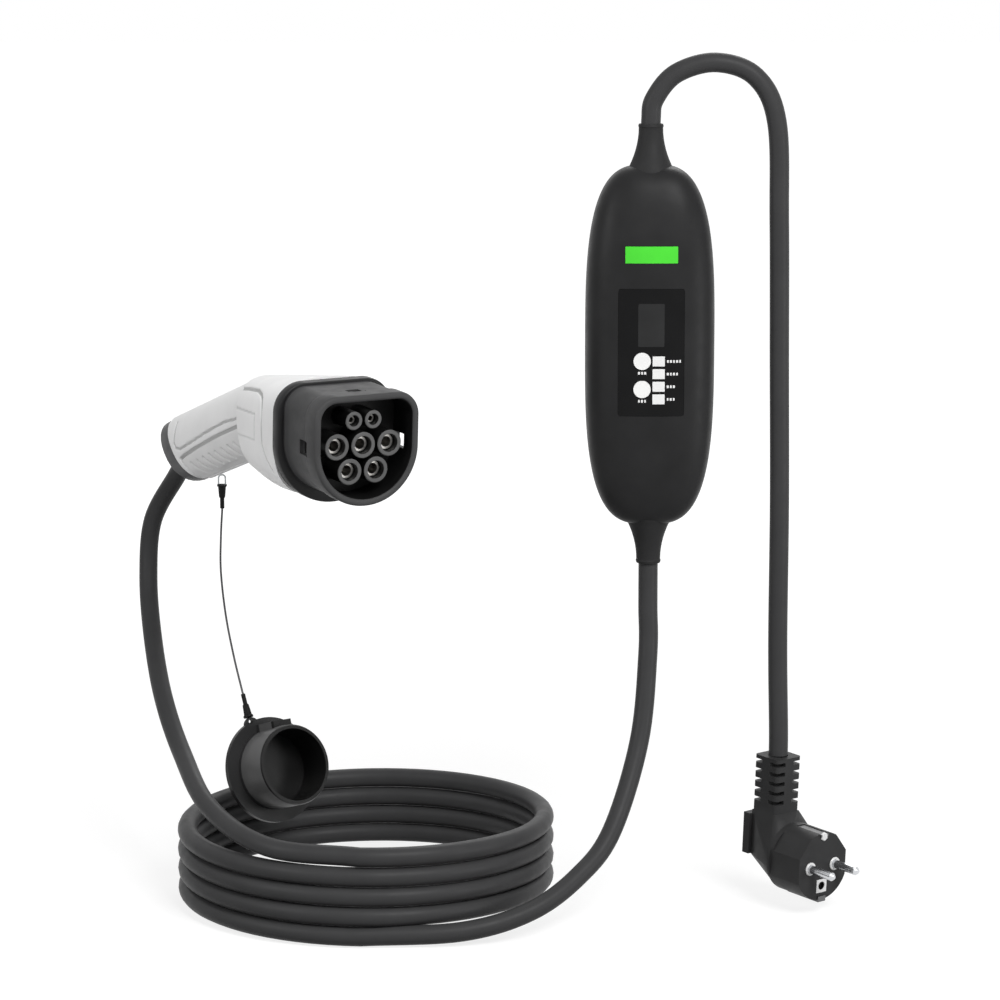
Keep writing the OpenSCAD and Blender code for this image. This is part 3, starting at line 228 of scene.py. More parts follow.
# %% Smooth the CAD nodes
WELD_DISTANCE = 0.000002
SHARP_DEGREES = 32
tree = bpy.data.node_groups.new("weld_and_shade", "GeometryNodeTree")
for way in ("INPUT", "OUTPUT"):
    tree.interface.new_socket("Geometry", in_out=way, socket_type="NodeSocketGeometry")
loose = add(tree, "NodeGroupInput").outputs[0]
weld = add(tree, "GeometryNodeMergeByDistance", {"Geometry": loose, "Distance": WELD_DISTANCE})
faces = add(tree, "GeometryNodeSetShadeSmooth", {"Geometry": weld.outputs["Geometry"]}, domain="FACE")
angle = add(tree, "GeometryNodeInputMeshEdgeAngle").outputs["Unsigned Angle"]
flat = add(tree, "FunctionNodeCompare", {"A": angle, "B": math.radians(SHARP_DEGREES)},
           data_type="FLOAT", operation="LESS_THAN")
edges = add(tree, "GeometryNodeSetShadeSmooth", {
    "Geometry": faces.outputs["Geometry"], "Shade Smooth": flat.outputs["Result"]}, domain="EDGE")
add(tree, "NodeGroupOutput", {0: edges.outputs["Geometry"]})
for name, node in NODES.items():
    node.data.materials.clear()
    node.data.materials.append(FINISH[SLOT_OF[name]])
    node.modifiers.new("weld_and_shade", "NODES").node_group = tree
print("dressed nodes", len(NODES))

# %% [markdown]
# The connector and its grip are askew. Points on them are easy to give in their own frames, and one
# function turns them into the part's frame.

# %% Frames of the connector and its grip
CONNECTOR_POS = np.array([-155.5, -115, -42.5])
CONNECTOR_TURN = (3, -60)  # pitch and yaw in degrees
GRIP_ANGLE, GRIP_SLANT, GRIP_ORIGIN_X, GRIP_END_X, COLLAR_T = 22, 25, -110, -110.5, 14


def turned(points, pitch, yaw):
    """Points turned about Y by the pitch and then about Z by the yaw, in degrees."""
    p = np.asarray(points, float)
    a, b = math.radians(pitch), math.radians(yaw)
    x = p[..., 0] * math.cos(a) + p[..., 2] * math.sin(a)
    y = p[..., 1]
    z = p[..., 2] * math.cos(a) - p[..., 0] * math.sin(a)
    return np.stack([x * math.cos(b) - y * math.sin(b), x * math.sin(b) + y * math.cos(b), z], -1)


def connector_point(points):
    return CONNECTOR_POS + turned(points, *CONNECTOR_TURN)


def grip_point(points):
    return connector_point([GRIP_ORIGIN_X, 0, 0] + turned(points, -GRIP_ANGLE, 0))


def connector_entry(d):
    """Point on the cable's axis at a distance behind the middle of the rear collar."""
    return grip_point([GRIP_END_X - COLLAR_T / 2, 0, 0] + turned([-d, 0, 0], -GRIP_SLANT, 0))


print("cable enters the grip at", connector_entry(0))

# %% [markdown]
# The cables are cords of a fixed length. Each is one smooth curve through the same points as
# its CAD solid, given in millimetres. The vehicle cable runs from the box to the floor, lies in
# four turns and climbs to the grip. A rope simulation could lay it too, but would stretch it.

# %% Cord routes
COIL_X, COIL_Y, COIL_R, COIL_TURNS, COIL_STEPS = -161, -13, 102.5, 4, 72
COIL_LOW, COIL_HIGH = -316, -271
ROUTE_STEPS = 10
BOX_ROUTE = [
    [0, -20, -104], [0, -20, -130], [0, -21, -150], [0, -25, -176], [-5, -37, -224], [-21, -62, -270],
    [-40, -81, -291], [-67, -100, -306], [-105, -113, -314], [COIL_X, COIL_Y - COIL_R, COIL_LOW],
]
GRIP_ROUTE = [
    connector_entry(-18), connector_entry(8), connector_entry(26), [-291, 104, -122], [-294, 100, -155],
    [-290, 76, -186], [-281, 38, -215], [-267, -2, -240], [-247, -56, -259], [-212, -101, -269],
    [COIL_X, COIL_Y - COIL_R, COIL_HIGH],
]
MAINS_ROUTE = [
    [0, -20, 104], [0, -20, 126], [2, -20, 138], [14, -20, 152], [36, -20, 158], [58, -20, 150],
    [70, -20, 125], [72, -20, 70], [73, -20, -10], [74, -20, -90], [74, -20, -170],
    [75, -20.5, -220], [75, -21, -236],
]
TETHER_ROUTE = [
    grip_point([-81, 0, -21.7]) - [0, 0, 20.2], [-246, 38, -120], [-246, 34, -140],
    [-243, 28, -165], [-238, 20, -188], [-232.5, 11.2, -207.8],
]


def mix(a, b, t):
    return a + (b - a) * t


def smooth_route(points, steps):
    """Curve through points, with steps points a stretch."""
    p = [np.array(q, float) for q in points]
    p = [2 * p[0] - p[1]] + p + [2 * p[-1] - p[-2]]
    out = []
    for i in range(1, len(p) - 2):
        a, b, c, d = p[i - 1:i + 3]
        for k in range(steps):
            t = k / steps
            out.append(0.5 * (2 * b + (c - a) * t + (2 * a - 5 * b + 4 * c - d) * t * t
                              + (3 * b - a - 3 * c + d) * t ** 3))
    out.append(p[-2])
    return out


# the coil runs from the low strand at the front to the high one, clockwise from above
t = np.arange(1, COIL_TURNS * COIL_STEPS) / (COIL_TURNS * COIL_STEPS)
a = -math.pi / 2 - 2 * math.pi * COIL_TURNS * t
coil_part = list(np.stack([
    COIL_X + COIL_R * np.cos(a), COIL_Y + COIL_R * np.sin(a), mix(COIL_LOW, COIL_HIGH, t)], -1))
box_part = smooth_route(BOX_ROUTE, ROUTE_STEPS)
grip_part = smooth_route(GRIP_ROUTE, ROUTE_STEPS)[::-1]
cable_line = box_part + coil_part + grip_part
print("vehicle cable points", len(cable_line))

# %% [markdown]
# A curve with a round bevel is the simplest tube. The printed length is measured along the line,
# so that it is the real length of the cable between the strain relief and the grip.

# %% Cords
def cord_curve(name, line, diameter, finish):
    curve = bpy.data.curves.new(name, "CURVE")
    curve.dimensions = "3D"
    curve.bevel_depth = diameter / 2
    curve.bevel_resolution = 6
    curve.use_fill_caps = True
    spline = curve.splines.new("POLY")
    spline.points.add(len(line) - 1)
    for point, p in zip(spline.points, line):
        point.co = (*(p / 1000), 1)
    spline.use_smooth = True
    curve.materials.append(FINISH[finish])
    piece = placed(name, curve)
    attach(piece, "base")
    return piece


def line_length(line):
    return sum(float(np.linalg.norm(b - a)) for a, b in zip(line, line[1:])) / 1000


vehicle_cable = cord_curve("vehicle_cable", cable_line, diameter=0.011, finish="cable_rubber")
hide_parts("vehicle_cable_coil", "vehicle_cable_to_connector", "vehicle_cable_to_box")
mains_line = smooth_route(MAINS_ROUTE, ROUTE_STEPS)
mains_lead = cord_curve("mains_lead_cord", mains_line, diameter=0.011, finish="cable_rubber")
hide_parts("mains_lead")
tether_line = smooth_route(TETHER_ROUTE, 8)
tether = cord_curve("tether_cord", tether_line, diameter=0.0012, finish="tether_wire")
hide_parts("tether_wire")
print("lengths", line_length(cable_line), line_length(mains_line), line_length(tether_line))

# %% [markdown]
# The control box is a pebble: its outline from the front and its section are both superellipses.
# The CAD solid follows that form with flat facets, so the two shells get a fine skin here. A cube
# with a subdivision surface could come close, but it wouldn't meet the solid. Each skin is
# therefore a grid of points from the same formula, given its wall by Solidify.

# %% Skin helpers
def plain_mesh(name, verts, faces=()):
    mesh = bpy.data.meshes.new(name)
    mesh.from_pydata([tuple(v) for v in np.reshape(verts, (-1, 3))], [], faces)
    return mesh


def sharpen(piece, degrees=40):
    """Marks the edges sharp where the faces turn by more than an angle."""
    piece.data.set_sharp_from_angle(angle=math.radians(degrees))


def finish_mesh(name, verts, faces, finish, sharp=40):
    mesh = plain_mesh(name, verts, faces)
    mesh.validate()
    mesh.update()
    mesh.materials.append(FINISH[finish])
    mesh.shade_smooth()
    piece = placed(name, mesh)
    sharpen(piece, sharp)
    return piece


def grid_faces(rows, cols, around=False, first=0):
    faces = []
    for j in range(rows - 1):
        low, high = first + j * cols, first + (j + 1) * cols
        for i in range(cols if around else cols - 1):
            k = (i + 1) % cols
            faces.append((low + i, low + k, high + k, high + i))
    return faces


def drop(piece):
    data = piece.data
    bpy.data.objects.remove(piece)
    bpy.data.meshes.remove(data)


def bake(piece):
    """Turns the piece's modifiers into plain mesh."""
    graph = bpy.context.evaluated_depsgraph_get()
    mesh = bpy.data.meshes.new_from_object(piece.evaluated_get(graph))
    piece.modifiers.clear()
    old = piece.data
    piece.data = mesh
    bpy.data.meshes.remove(old)


def cut_and_bake(piece, tools):
    """Cuts the tools out of the piece, after its other modifiers, and deletes them."""
    for tool in tools:
        cut = piece.modifiers.new("hole", "BOOLEAN")
        cut.object, cut.operation, cut.solver = tool, "DIFFERENCE", "EXACT"
    bake(piece)
    for tool in tools:
        drop(tool)


def outward(piece):
    """Merges doubles and points every face outwards."""
    mesh = bmesh.new()
    mesh.from_mesh(piece.data)
    bmesh.ops.remove_doubles(mesh, verts=mesh.verts, dist=0.000001)
    bmesh.ops.recalc_face_normals(mesh, faces=mesh.faces)
    mesh.to_mesh(piece.data)
    mesh.free()
    return piece


def smoothstep(value, low, high):
    t = np.clip((value - low) / (high - low), 0, 1)
    return t * t * (3 - 2 * t)


print("faces of a ring", len(grid_faces(2, 300, True)))

# %% [markdown]
# The front skin has a pocket for the panel and one for the badge. They could be cut, but a cut
# through a curved skin leaves ragged shading. So they are pressed into the grid by the distance to
# their edges, with grid lines laid close to each edge.

# %% Front skin of the box
BOX_W, BOX_H, FRONT_D, REAR_D, BACK_CROWN = 72.5, 203.0, 26.0, 20.0, 2.0
END_POWER, SECTION_POWER, END_SHARE = 3.2, 3.0, 0.994
PANEL_W, PANEL_H, PANEL_Z, PANEL_POCKET = 37.0, 71.5, -1.0, 1.1
BADGE_W, BADGE_H, BADGE_Z, BADGE_POCKET = 29.5, 9.6, 53.5, 0.75
POCKET_SLOPE, POCKET_LIP = 0.25, 0.2
SEAM_DEPTH, SEAM_REACH = 0.45, 0.55


def box_growth(z):
    return (1 - (np.abs(z) / (BOX_H / 2)) ** END_POWER) ** (1 / END_POWER)


def section_y(x, half, depth):
    """How far the section of the box stands out at x."""
    return depth * (1 - (np.abs(x) / half) ** SECTION_POWER) ** (1 / SECTION_POWER)


def box_rows(count):
    """Heights from end to end, close together at the rounded ends."""
    even = np.linspace(-1, 1, count)
    return BOX_H / 2 * END_SHARE * (0.55 * np.sin(even * math.pi / 2) + 0.45 * even)


def edge_lines(middle, size, steps=(-POCKET_SLOPE, 0, POCKET_LIP)):
    """Grid lines close to both edges of a pocket."""
    return [middle + s * (size / 2 + step) for s in (-1, 1) for step in steps]


def pocket(x, z, half_w, half_h, corner, depth):
    """Depth of a pocket with rounded corners, by the distance to its edge."""
    qx = np.abs(x) - half_w + corner
    qz = np.abs(z) - half_h + corner
    outside = np.hypot(np.maximum(qx, 0), np.maximum(qz, 0)) + np.minimum(np.maximum(qx, qz), 0) - corner
    return depth * smoothstep(-outside, 0, POCKET_SLOPE)


def tucked(xs, ys, half):
    """Draws a skin in by the parting plane, which leaves a fine joint between the shells."""
    return xs * (1 - SEAM_DEPTH * np.exp(-(ys / SEAM_REACH) ** 2) / max(half, 1))


def box_skin(name, rows):
    rows = np.array(rows) / 1000
    return finish_mesh(name, rows, grid_faces(*rows.shape[:2]), "box_black")


heights = np.sort(np.concatenate([
    box_rows(150), edge_lines(PANEL_Z, PANEL_H), edge_lines(BADGE_Z, BADGE_H)]))
flat_half = PANEL_W / 2 + POCKET_LIP
inner = np.unique(np.concatenate([
    np.linspace(-flat_half, flat_half, 61), edge_lines(0, PANEL_W, (-POCKET_SLOPE, 0)),
    edge_lines(0, BADGE_W)]))
rows = []
for height in heights:
    g = box_growth(height)
    half = BOX_W / 2 * g
    x = inner * min(1.0, 0.8 * half / inner[-1])
    edge = math.acos(min(1, (x[-1] / half)) ** (SECTION_POWER / 2))
    side = np.linspace(edge, 0, 34)[1:]
    side_x = half * np.cos(side) ** (2 / SECTION_POWER)
    side_y = FRONT_D * g * np.sin(side) ** (2 / SECTION_POWER)
    xs = np.concatenate([-side_x[::-1], x, side_x])
    ys = np.concatenate([side_y[::-1], section_y(x, half, FRONT_D * g), side_y])
    sunk = np.maximum(
        pocket(xs, height - PANEL_Z, PANEL_W / 2, PANEL_H / 2, 2, PANEL_POCKET),
        pocket(xs, height - BADGE_Z, BADGE_W / 2, BADGE_H / 2, 0.3, BADGE_POCKET))
    rows.append(np.stack([tucked(xs, ys, half), -REAR_D - ys + sunk, np.full(len(xs), height)], -1))
box_front = box_skin("box_front_skin", rows)
print("front skin faces", len(box_front.data.polygons))

# %% [markdown]
# The rear skin is the same pebble, cut off flat at the back. A soft minimum of the two forms gives
# the rounded edge that a moulded back has.

# %% Rear skin of the box
BACK_EDGE = 0.5
angle = np.linspace(0, math.pi, 120)
rows = []
for height in box_rows(140):
    g = box_growth(height)
    half = BOX_W / 2 * g
    xs = half * np.sign(np.cos(angle)) * np.abs(np.cos(angle)) ** (2 / SECTION_POWER)
    ys = (REAR_D + BACK_CROWN) * g * np.abs(np.sin(angle)) ** (2 / SECTION_POWER)
    ys = -BACK_EDGE * np.log(np.exp(-ys / BACK_EDGE) + np.exp(-REAR_D / BACK_EDGE) + 1e-30)
    ys = np.clip(ys, 0, REAR_D)
    rows.append(np.stack([tucked(xs, ys, half), -REAR_D + ys, np.full(len(xs), height)], -1))
box_rear = box_skin("box_rear_skin", rows)
print("rear skin faces", len(box_rear.data.polygons))

# %% [markdown]
# Each skin now gets its wall, and the holes of the buttons and the case screws are cut. The skin
# faces outwards first, so that Solidify grows the wall into the box.

# %% Walls and holes
BUTTON_X, BUTTON_Z, BUTTON_HOLE_R = -5.0, (-5.65, -21.4), 5.05
BUTTON_AT = [(BUTTON_X, z) for z in BUTTON_Z]
CROWN_CUT, BACK_CUT = (-60, -30), (-7, 5)
SCREW_X, SCREW_Z, SCREW_HOLE_R = BOX_W / 2 - 9.2, 60.0, 3.1
SCREW_AT = [(side * SCREW_X, k * SCREW_Z) for side in (-1, 1) for k in (-1, 0, 1)]


def cutter(name, places, radius, y0, y1):
    mesh = bmesh.new()
    for x, z in places:
        middle = Matrix.Translation((x / 1000, (y0 + y1) / 2000, z / 1000))
        bmesh.ops.create_cone(mesh, cap_ends=True, segments=48, radius1=radius / 1000,
                              radius2=radius / 1000, depth=(y1 - y0) / 1000,
                              matrix=middle @ Matrix.Rotation(math.pi / 2, 4, "X"))
    data = bpy.data.meshes.new(name)
    mesh.to_mesh(data)
    mesh.free()
    return placed(name, data)


def walled(piece, wall, tools):
    centre = np.array([0, -REAR_D / 1000, 0])
    mesh = piece.data
    middle = mesh.polygons[len(mesh.polygons) // 2]
    if (np.array(middle.center) - centre) @ np.array(middle.normal) < 0:
        mesh.flip_normals()
    thick = piece.modifiers.new("wall", "SOLIDIFY")
    thick.thickness = wall / 1000
    thick.offset = -1
    thick.use_even_offset = False
    cut_and_bake(piece, tools)
    sharpen(piece)
    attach(piece, "base")


walled(box_front, 1.2, [cutter("button_holes", BUTTON_AT, BUTTON_HOLE_R, *CROWN_CUT)])
walled(box_rear, 1.8, [cutter("screw_holes", SCREW_AT, SCREW_HOLE_R, *BACK_CUT)])
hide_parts("front_shell")
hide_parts("rear_shell")
print("box skins", len(box_front.data.polygons), len(box_rear.data.polygons))

# %% [markdown]
# The connector's white shell is a head that narrows towards a slanted seam and a grip that comes
# out of it at an angle. Both are lofts of superellipses. Their grooves, the thumb pad and the
# finger ridges could be sculpted by hand. Here they are pressed into the fine grid by the distance
# to lines drawn on the side, so that each can be moved by changing a number.

# %% Relief helpers
def from_connector(points):
    """Millimetres in the connector's frame to metres in the part's frame."""
    return connector_point(points) / 1000


def rounded(value, power):
    return np.sign(value) * np.abs(value) ** (2 / power)


def line_distance(x, z, a, b):
    """Distance from a straight stroke between two points on the side of the shell."""
    ax, az = a
    bx, bz = b
    t = ((x - ax) * (bx - ax) + (z - az) * (bz - az)) / ((bx - ax) ** 2 + (bz - az) ** 2)
    t = np.clip(t, 0, 1)
    return np.hypot(x - ax - t * (bx - ax), z - az - t * (bz - az))


def path_distance(x, z, points):
    return np.minimum.reduce([line_distance(x, z, a, b) for a, b in zip(points, points[1:])])


def dent(distance, width, depth=1):
    return depth * (1 - smoothstep(distance, width * 0.35, width * 0.75))


def pressed(points, depth):
    """Moves a grid of points inwards along its normals."""
    du = np.gradient(points, axis=0)
    dv = np.roll(points, -1, axis=1) - np.roll(points, 1, axis=1)
    normal = np.cross(du, dv)
    normal /= np.linalg.norm(normal, axis=-1, keepdims=True) + 1e-9
    out = points - points.mean(axis=1, keepdims=True)
    flip = np.sign((normal * out).sum(-1).mean())
    return points - normal * flip * depth[..., None]


print("front of the nose at", from_connector([0, 0, 0]))

# %% [markdown]
# The head is the wide part behind the nose. Its top, bottom and width run from the front to the
# seam. The last rings turn inwards and close the rear, so that the shell isn't open beside the grip.

# %% Head
RING = 300  # points round the head and round the grip
RING_ANGLE = np.linspace(0, 2 * math.pi, RING, endpoint=False)
HEAD_TOP, HEAD_HALF_W, HEAD_POWER, HEAD_MIDDLE = (30.8, 18), (33.8, 22.5), (2.9, 2.5), (0, -10)
HEAD_BOTTOM, HEAD_BELLY, HEAD_FRONT_X = -35.2, 2.5, -45
SEAM_X, SEAM_HEIGHT, SEAM_SPREAD = (-121, -106), 54.2, 0.008
HALVES_LINE = (0.9, 0.35)  # width and depth of the line between the two halves
CHEEK = [(-119.3, 11.7), (-107.8, 13.8), (-89.8, 16.3), (-80.2, 15.9), (-75.2, 14.5), (-70.5, 10.5),
         (-68.4, 6), (-67.6, -3.3), (-67, -9), (-62, -15), (-53, -22)]
PAD = [(-115, 1.8), (-81, 5), (-80.5, -9.4), (-113, -12.8)]


def head_points(t, inset=0):
    """Ring of the head, from 0 at its front to 1 at the seam."""
    top = mix(*HEAD_TOP, t) - inset
    bottom = HEAD_BOTTOM - HEAD_BELLY * math.sin(math.pi * t) + inset
    half_w = mix(*HEAD_HALF_W, t) - inset
    power = mix(*HEAD_POWER, t)
    middle = mix(*HEAD_MIDDLE, t)
    up = rounded(np.sin(RING_ANGLE), power)
    z = middle + np.where(up > 0, top - middle, middle - bottom) * up
    rear = mix(*SEAM_X, (HEAD_TOP[1] - z) / SEAM_HEIGHT)
    return np.stack([mix(HEAD_FRONT_X, rear, t), -half_w * rounded(np.cos(RING_ANGLE), power), z], -1)


head_t = np.linspace(0, 1, 170)
head = np.array([head_points(t) for t in head_t])
x, y, z = np.moveaxis(head, -1, 0)
on_side = np.abs(y) > 8
cheek = np.where(on_side, dent(path_distance(x, z, CHEEK), 1.5), 0)
pad = np.where(on_side, dent(path_distance(x, z, PAD), 1.2), 0)
seam = np.exp(-((head_t - 1) / SEAM_SPREAD) ** 2)[:, None] * np.ones_like(x)
press = 0.9 * cheek + 0.45 * pad + dent(np.abs(y), *HALVES_LINE) + 0.7 * seam
# Painted shade on the head: darker in the cheek line, the thumb pad and the seam.
head_painted_shade = np.maximum.reduce([0.75 * cheek, 0.4 * pad, 0.95 * seam])
rings = [head_points(0, 6), *pressed(head, press), head_points(1, 1.6) + [0.2, 0, 0]]
rings += [head_points(t, inset) for t, inset in ((0.99, 7.5), (0.985, 14), (0.985, 20))]
rings.append(np.repeat(rings[-1].mean(axis=0)[None], RING, axis=0))
head_verts = from_connector(np.array(rings))
# Painted shade: 0.3 on the rings that close the rear, and full on the ring at the seam.
head_painted_shade = np.pad(head_painted_shade, ((1, 5), (0, 0)), constant_values=((0, 0.3), (0, 0)))
head_painted_shade[-5] = 1
print("head rings", len(rings))

# %% [markdown]
# The grip is a flattened tube with two long grooves on its side, a sunk field below them and eight
# short strokes for the fingers. It starts inside the head, and so the two need no joint.

# %% Grip
GRIP_HALF_H, GRIP_HALF_W, GRIP_POWER, GRIP_START_X = (21.4, 21), (17.6, 16), 2.3, 2
UPPER_EDGE = [(-102.2, 14), (-103.7, 7.2), (-105, 2.6), (-103.6, -0.6), (-98.2, -2.4), (-79, -1.3),
              (-57.8, 0.1), (-41.4, 0.4), (-33.9, 0.8), (-14, -0.8)]
LEDGE = [(-100.9, -7.9), (-95.8, -7), (-77.9, -5.9), (-56.5, -5.1), (-40.4, -4.8), (-14, -5.1)]
HEEL = [(-100.9, -7.9), (-98.5, -18)]
FINGER_STEPS = 8.8 * np.arange(8)


def grip_points(s, inset, shrink):
    """Ring of the grip, from 0 in the head to 1 at the collar."""
    half_h = (mix(*GRIP_HALF_H, s) - inset) * shrink
    half_w = (mix(*GRIP_HALF_W, s) - inset) * shrink
    z = half_h * rounded(np.sin(RING_ANGLE), GRIP_POWER) - (1 - s)
    x = mix(GRIP_START_X, GRIP_END_X, s) - math.tan(math.radians(GRIP_SLANT)) * s * z
    return np.stack([x, -half_w * rounded(np.cos(RING_ANGLE), GRIP_POWER), z], -1)


grip_steps = [(s, 1) for s in np.linspace(0.05, 0.985, 142)]
grip_steps += [(0.992, 0.992), (0.997, 0.978), (1, 0.955)]  # rounded end
grip = np.array([grip_points(s, 0, shrink) for s, shrink in grip_steps])
x, y, z = np.moveaxis(grip, -1, 0)
on_side = np.abs(y) > 2
upper = dent(path_distance(x, z, UPPER_EDGE), 1.4)
ledge = dent(path_distance(x, z, LEDGE), 1.9)
heel = dent(path_distance(x, z, HEEL), 1.2)
sunk = smoothstep(-5.6 + 0.03 * np.minimum(x + 40, 0) - z, 0, 0.6) * smoothstep(x, -100.4, -99.6)
fingers = np.maximum.reduce([
    dent(line_distance(x, z, (-91 + step, -12.8), (-86.5 + step, -18.6)), 2) for step in FINGER_STEPS])
press = np.maximum(0.8 * upper, ledge) + 0.45 * heel + 0.5 * sunk + 0.9 * fingers
press = np.where(on_side, press, 0) + dent(np.abs(y), *HALVES_LINE)
# Painted shade on the grip: darker in its grooves and finger strokes, and a little in the sunk field.
grip_painted_shade = np.where(on_side, np.maximum.reduce(
    [0.7 * upper, 0.8 * ledge, 0.35 * heel, 0.4 * fingers, 0.12 * sunk]), 0)
rings = [grip_points(0.04, 5, 1), *pressed(grip, press), grip_points(1, 2.5, 0.95)]
grip_verts = grip_point(np.array(rings)) / 1000
grip_painted_shade = np.pad(grip_painted_shade, ((1, 1), (0, 0)))
print("grip rings", len(rings))

# %% [markdown]
# Head and grip become one piece. The painted shade of the grooves, the seam and the closed rear
# goes with the mesh as an attribute, which the finish reads.

# %% Connector skin
faces = grid_faces(len(head_verts), RING, True)
faces += grid_faces(len(grip_verts), RING, True, len(head_verts) * RING)
verts = np.concatenate([head_verts, grip_verts])
connector_skin = finish_mesh("connector_skin", verts, faces, "grip_white")
# The painted shade of head and grip is stored on the points as an attribute.
painted_shade = connector_skin.data.attributes.new("painted_shade", "FLOAT", "POINT")
shade = np.concatenate([head_painted_shade, grip_painted_shade]).ravel()
painted_shade.data.foreach_set("value", shade.astype(np.float32))
outward(connector_skin)
connector_skin.data.shade_smooth()
sharpen(connector_skin, 48)
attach(connector_skin, "base")
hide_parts("connector_shell_right", "connector_shell_left")
print("connector skin faces", len(connector_skin.data.polygons))

# %% [markdown]
# The nose is an extruded outline with a round bottom and a flat top: a dark flange, a waist and a
# raised rim with a rounded lip. A bevelled extrusion could give the lip, but not the waist, so the
# outline is grown and shrunk along a profile. The holes for the locking pin are cut last.

# %% Nose
NOSE_HALF_W, NOSE_TOP, NOSE_BOTTOM = 31.8, 28.8, 33.0
NOSE_CORNER = NOSE_HALF_W * 0.42
NOSE_PROFILE = [  # place along the axis, growth of the outline, and how far it is lowered
    (-47, -7, 0), (-45, -6.5, 0), (-45, 2.4, 2.2), (-44.7, 2.9, 2.2), (-44, 3.2, 2.2), (-39, 3.2, 2.2),
    (-38.3, 2.9, 2.2), (-38, 2.4, 2.2), (-38, -0.4, 0), (-37.6, -0.8, 0), (-36, -1, 0), (-14, -1, 0),
    (-12.5, -0.8, 0), (-11.7, -0.2, 0), (-11, 0, 0), (-1.8, 0, 0), (-0.8, -0.25, 0), (-0.2, -0.8, 0),
    (0, -1.5, 0), (0, -2.6, 0), (-0.25, -3.3, 0), (-0.9, -3.8, 0), (-1.8, -4, 0), (-22.5, -4, 0),
    (-22.5, -7, 0),
]


def arc(x, z, radius, start, end, count):
    angle = np.radians(np.linspace(start, end, count))
    return np.stack([x + radius * np.cos(angle), z + radius * np.sin(angle)], -1)


def nose_outline(grow):
    cx, cz, corner = NOSE_HALF_W - NOSE_CORNER, NOSE_TOP - NOSE_CORNER, NOSE_CORNER + grow
    return np.concatenate([
        arc(0, NOSE_HALF_W - NOSE_BOTTOM, NOSE_HALF_W + grow, 180, 360, 90),
        arc(cx, cz, corner, 0, 90, 34), arc(-cx, cz, corner, 90, 180, 34)])


def block_cutter(name, centre, size):
    signs = np.array([(a, b, c) for a in (-1, 1) for b in (-1, 1) for c in (-1, 1)])
    corners = from_connector(np.array(centre) + signs * np.array(size) / 2)
    return outward(placed(name, plain_mesh(name, corners, [
        (0, 1, 3, 2), (4, 6, 7, 5), (0, 4, 5, 1), (2, 3, 7, 6), (0, 2, 6, 4), (1, 5, 7, 3)])))


nose_rows = np.array([
    np.insert(nose_outline(grow) - [0, lower], 0, along, axis=1) for along, grow, lower in NOSE_PROFILE])
rows, cols = nose_rows.shape[:2]
last = cols * (rows - 1)
faces = grid_faces(rows, cols, True)
faces += [(last + i, last + (i + 1) % cols, (i + 1) % cols, i) for i in range(cols)]
nose_skin = finish_mesh("nose_skin", from_connector(nose_rows), faces, "nose_grey", 34)
outward(nose_skin)
cut_and_bake(nose_skin, [block_cutter("side_locks", (-15, 0, -1), (10, 90, 8)),
                         block_cutter("top_lock", (-15, 0, 28.8), (10, 8, 16))])
nose_skin.data.shade_smooth()
sharpen(nose_skin, 34)
print("nose faces", len(nose_skin.data.polygons))

# %% [markdown]
# On the real nose the flange is darker than the rim. The inside of the shroud is painted darker
# still: painted shade. Two more materials on the same mesh do that. Which one a face gets depends
# on its place along the axis and on whether it lies inside the outline.

# %% Nose finishes
FLANGE_FRONT_X, LIP_BACK_X, INNER_GROWTH = -37.7, -0.6, -3.4
for finish in ("flange_black", "carrier_black"):
    nose_skin.data.materials.append(FINISH[finish])
nose_origin = from_connector([0, 0, 0])
axes = np.array([from_connector(e) - nose_origin for e in np.eye(3)]) * 1000
inner_edge = nose_outline(INNER_GROWTH)


def inside_outline(y, z, outline):
    """Counts the edges of the outline that lie to one side of the point."""
    a, b = outline, np.roll(outline, -1, axis=0)
    crossing = (a[:, 1] > z) != (b[:, 1] > z)
    at = a[:, 0] + (z - a[:, 1]) / (b[:, 1] - a[:, 1] + 1e-12) * (b[:, 0] - a[:, 0])
    return np.count_nonzero(crossing & (at > y)) % 2 == 1


for face in nose_skin.data.polygons:
    along, y, z = axes @ (np.array(face.center) - nose_origin) * 1000
    # Painted shade: faces inside the shroud, behind the lip, get the near-black carrier finish.
    painted_shade_lining = along < LIP_BACK_X and inside_outline(y, z, inner_edge)
    face.material_index = 1 if along < FLANGE_FRONT_X else 2 if painted_shade_lining else 0
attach(nose_skin, "base")
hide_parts("nose_shroud")
print("nose finishes", len(nose_skin.data.materials))

# %% [markdown]
# The panel, its window and the badge lie on the crown of the box. A thin slab that follows the
# crown is hard to bend from a flat one, so each is made straight from the crown's own formula:
# a front grid, a back grid a little deeper, and a strip round the edge.

# %% Pieces on the crown
PATCH_GAP = 0.3  # pocket less piece
PATCHES = [  # name, middle, size, corner, depth under the crown, thickness, slot, CAD node
    ("panel_face", (0, PANEL_Z), (PANEL_W - PATCH_GAP, PANEL_H - PATCH_GAP), 1.6, 0.2, 0.85,
     "panel_black", "panel_overlay"),
    ("window_face", (0, 14.4), (14.6, 24), 0.6, 0.12, 0.6, "display_glass", "display_window"),
    ("badge_face", (0, BADGE_Z), (BADGE_W - PATCH_GAP, BADGE_H - PATCH_GAP), 0.3, 0.1, 0.62,
     "badge_green", "badge_plate"),
]


def crown_y(x, z):
    """Front of the box in the part's frame, in millimetres."""
    g = box_growth(z)
    return -REAR_D - section_y(x, BOX_W / 2 * g, FRONT_D * g)


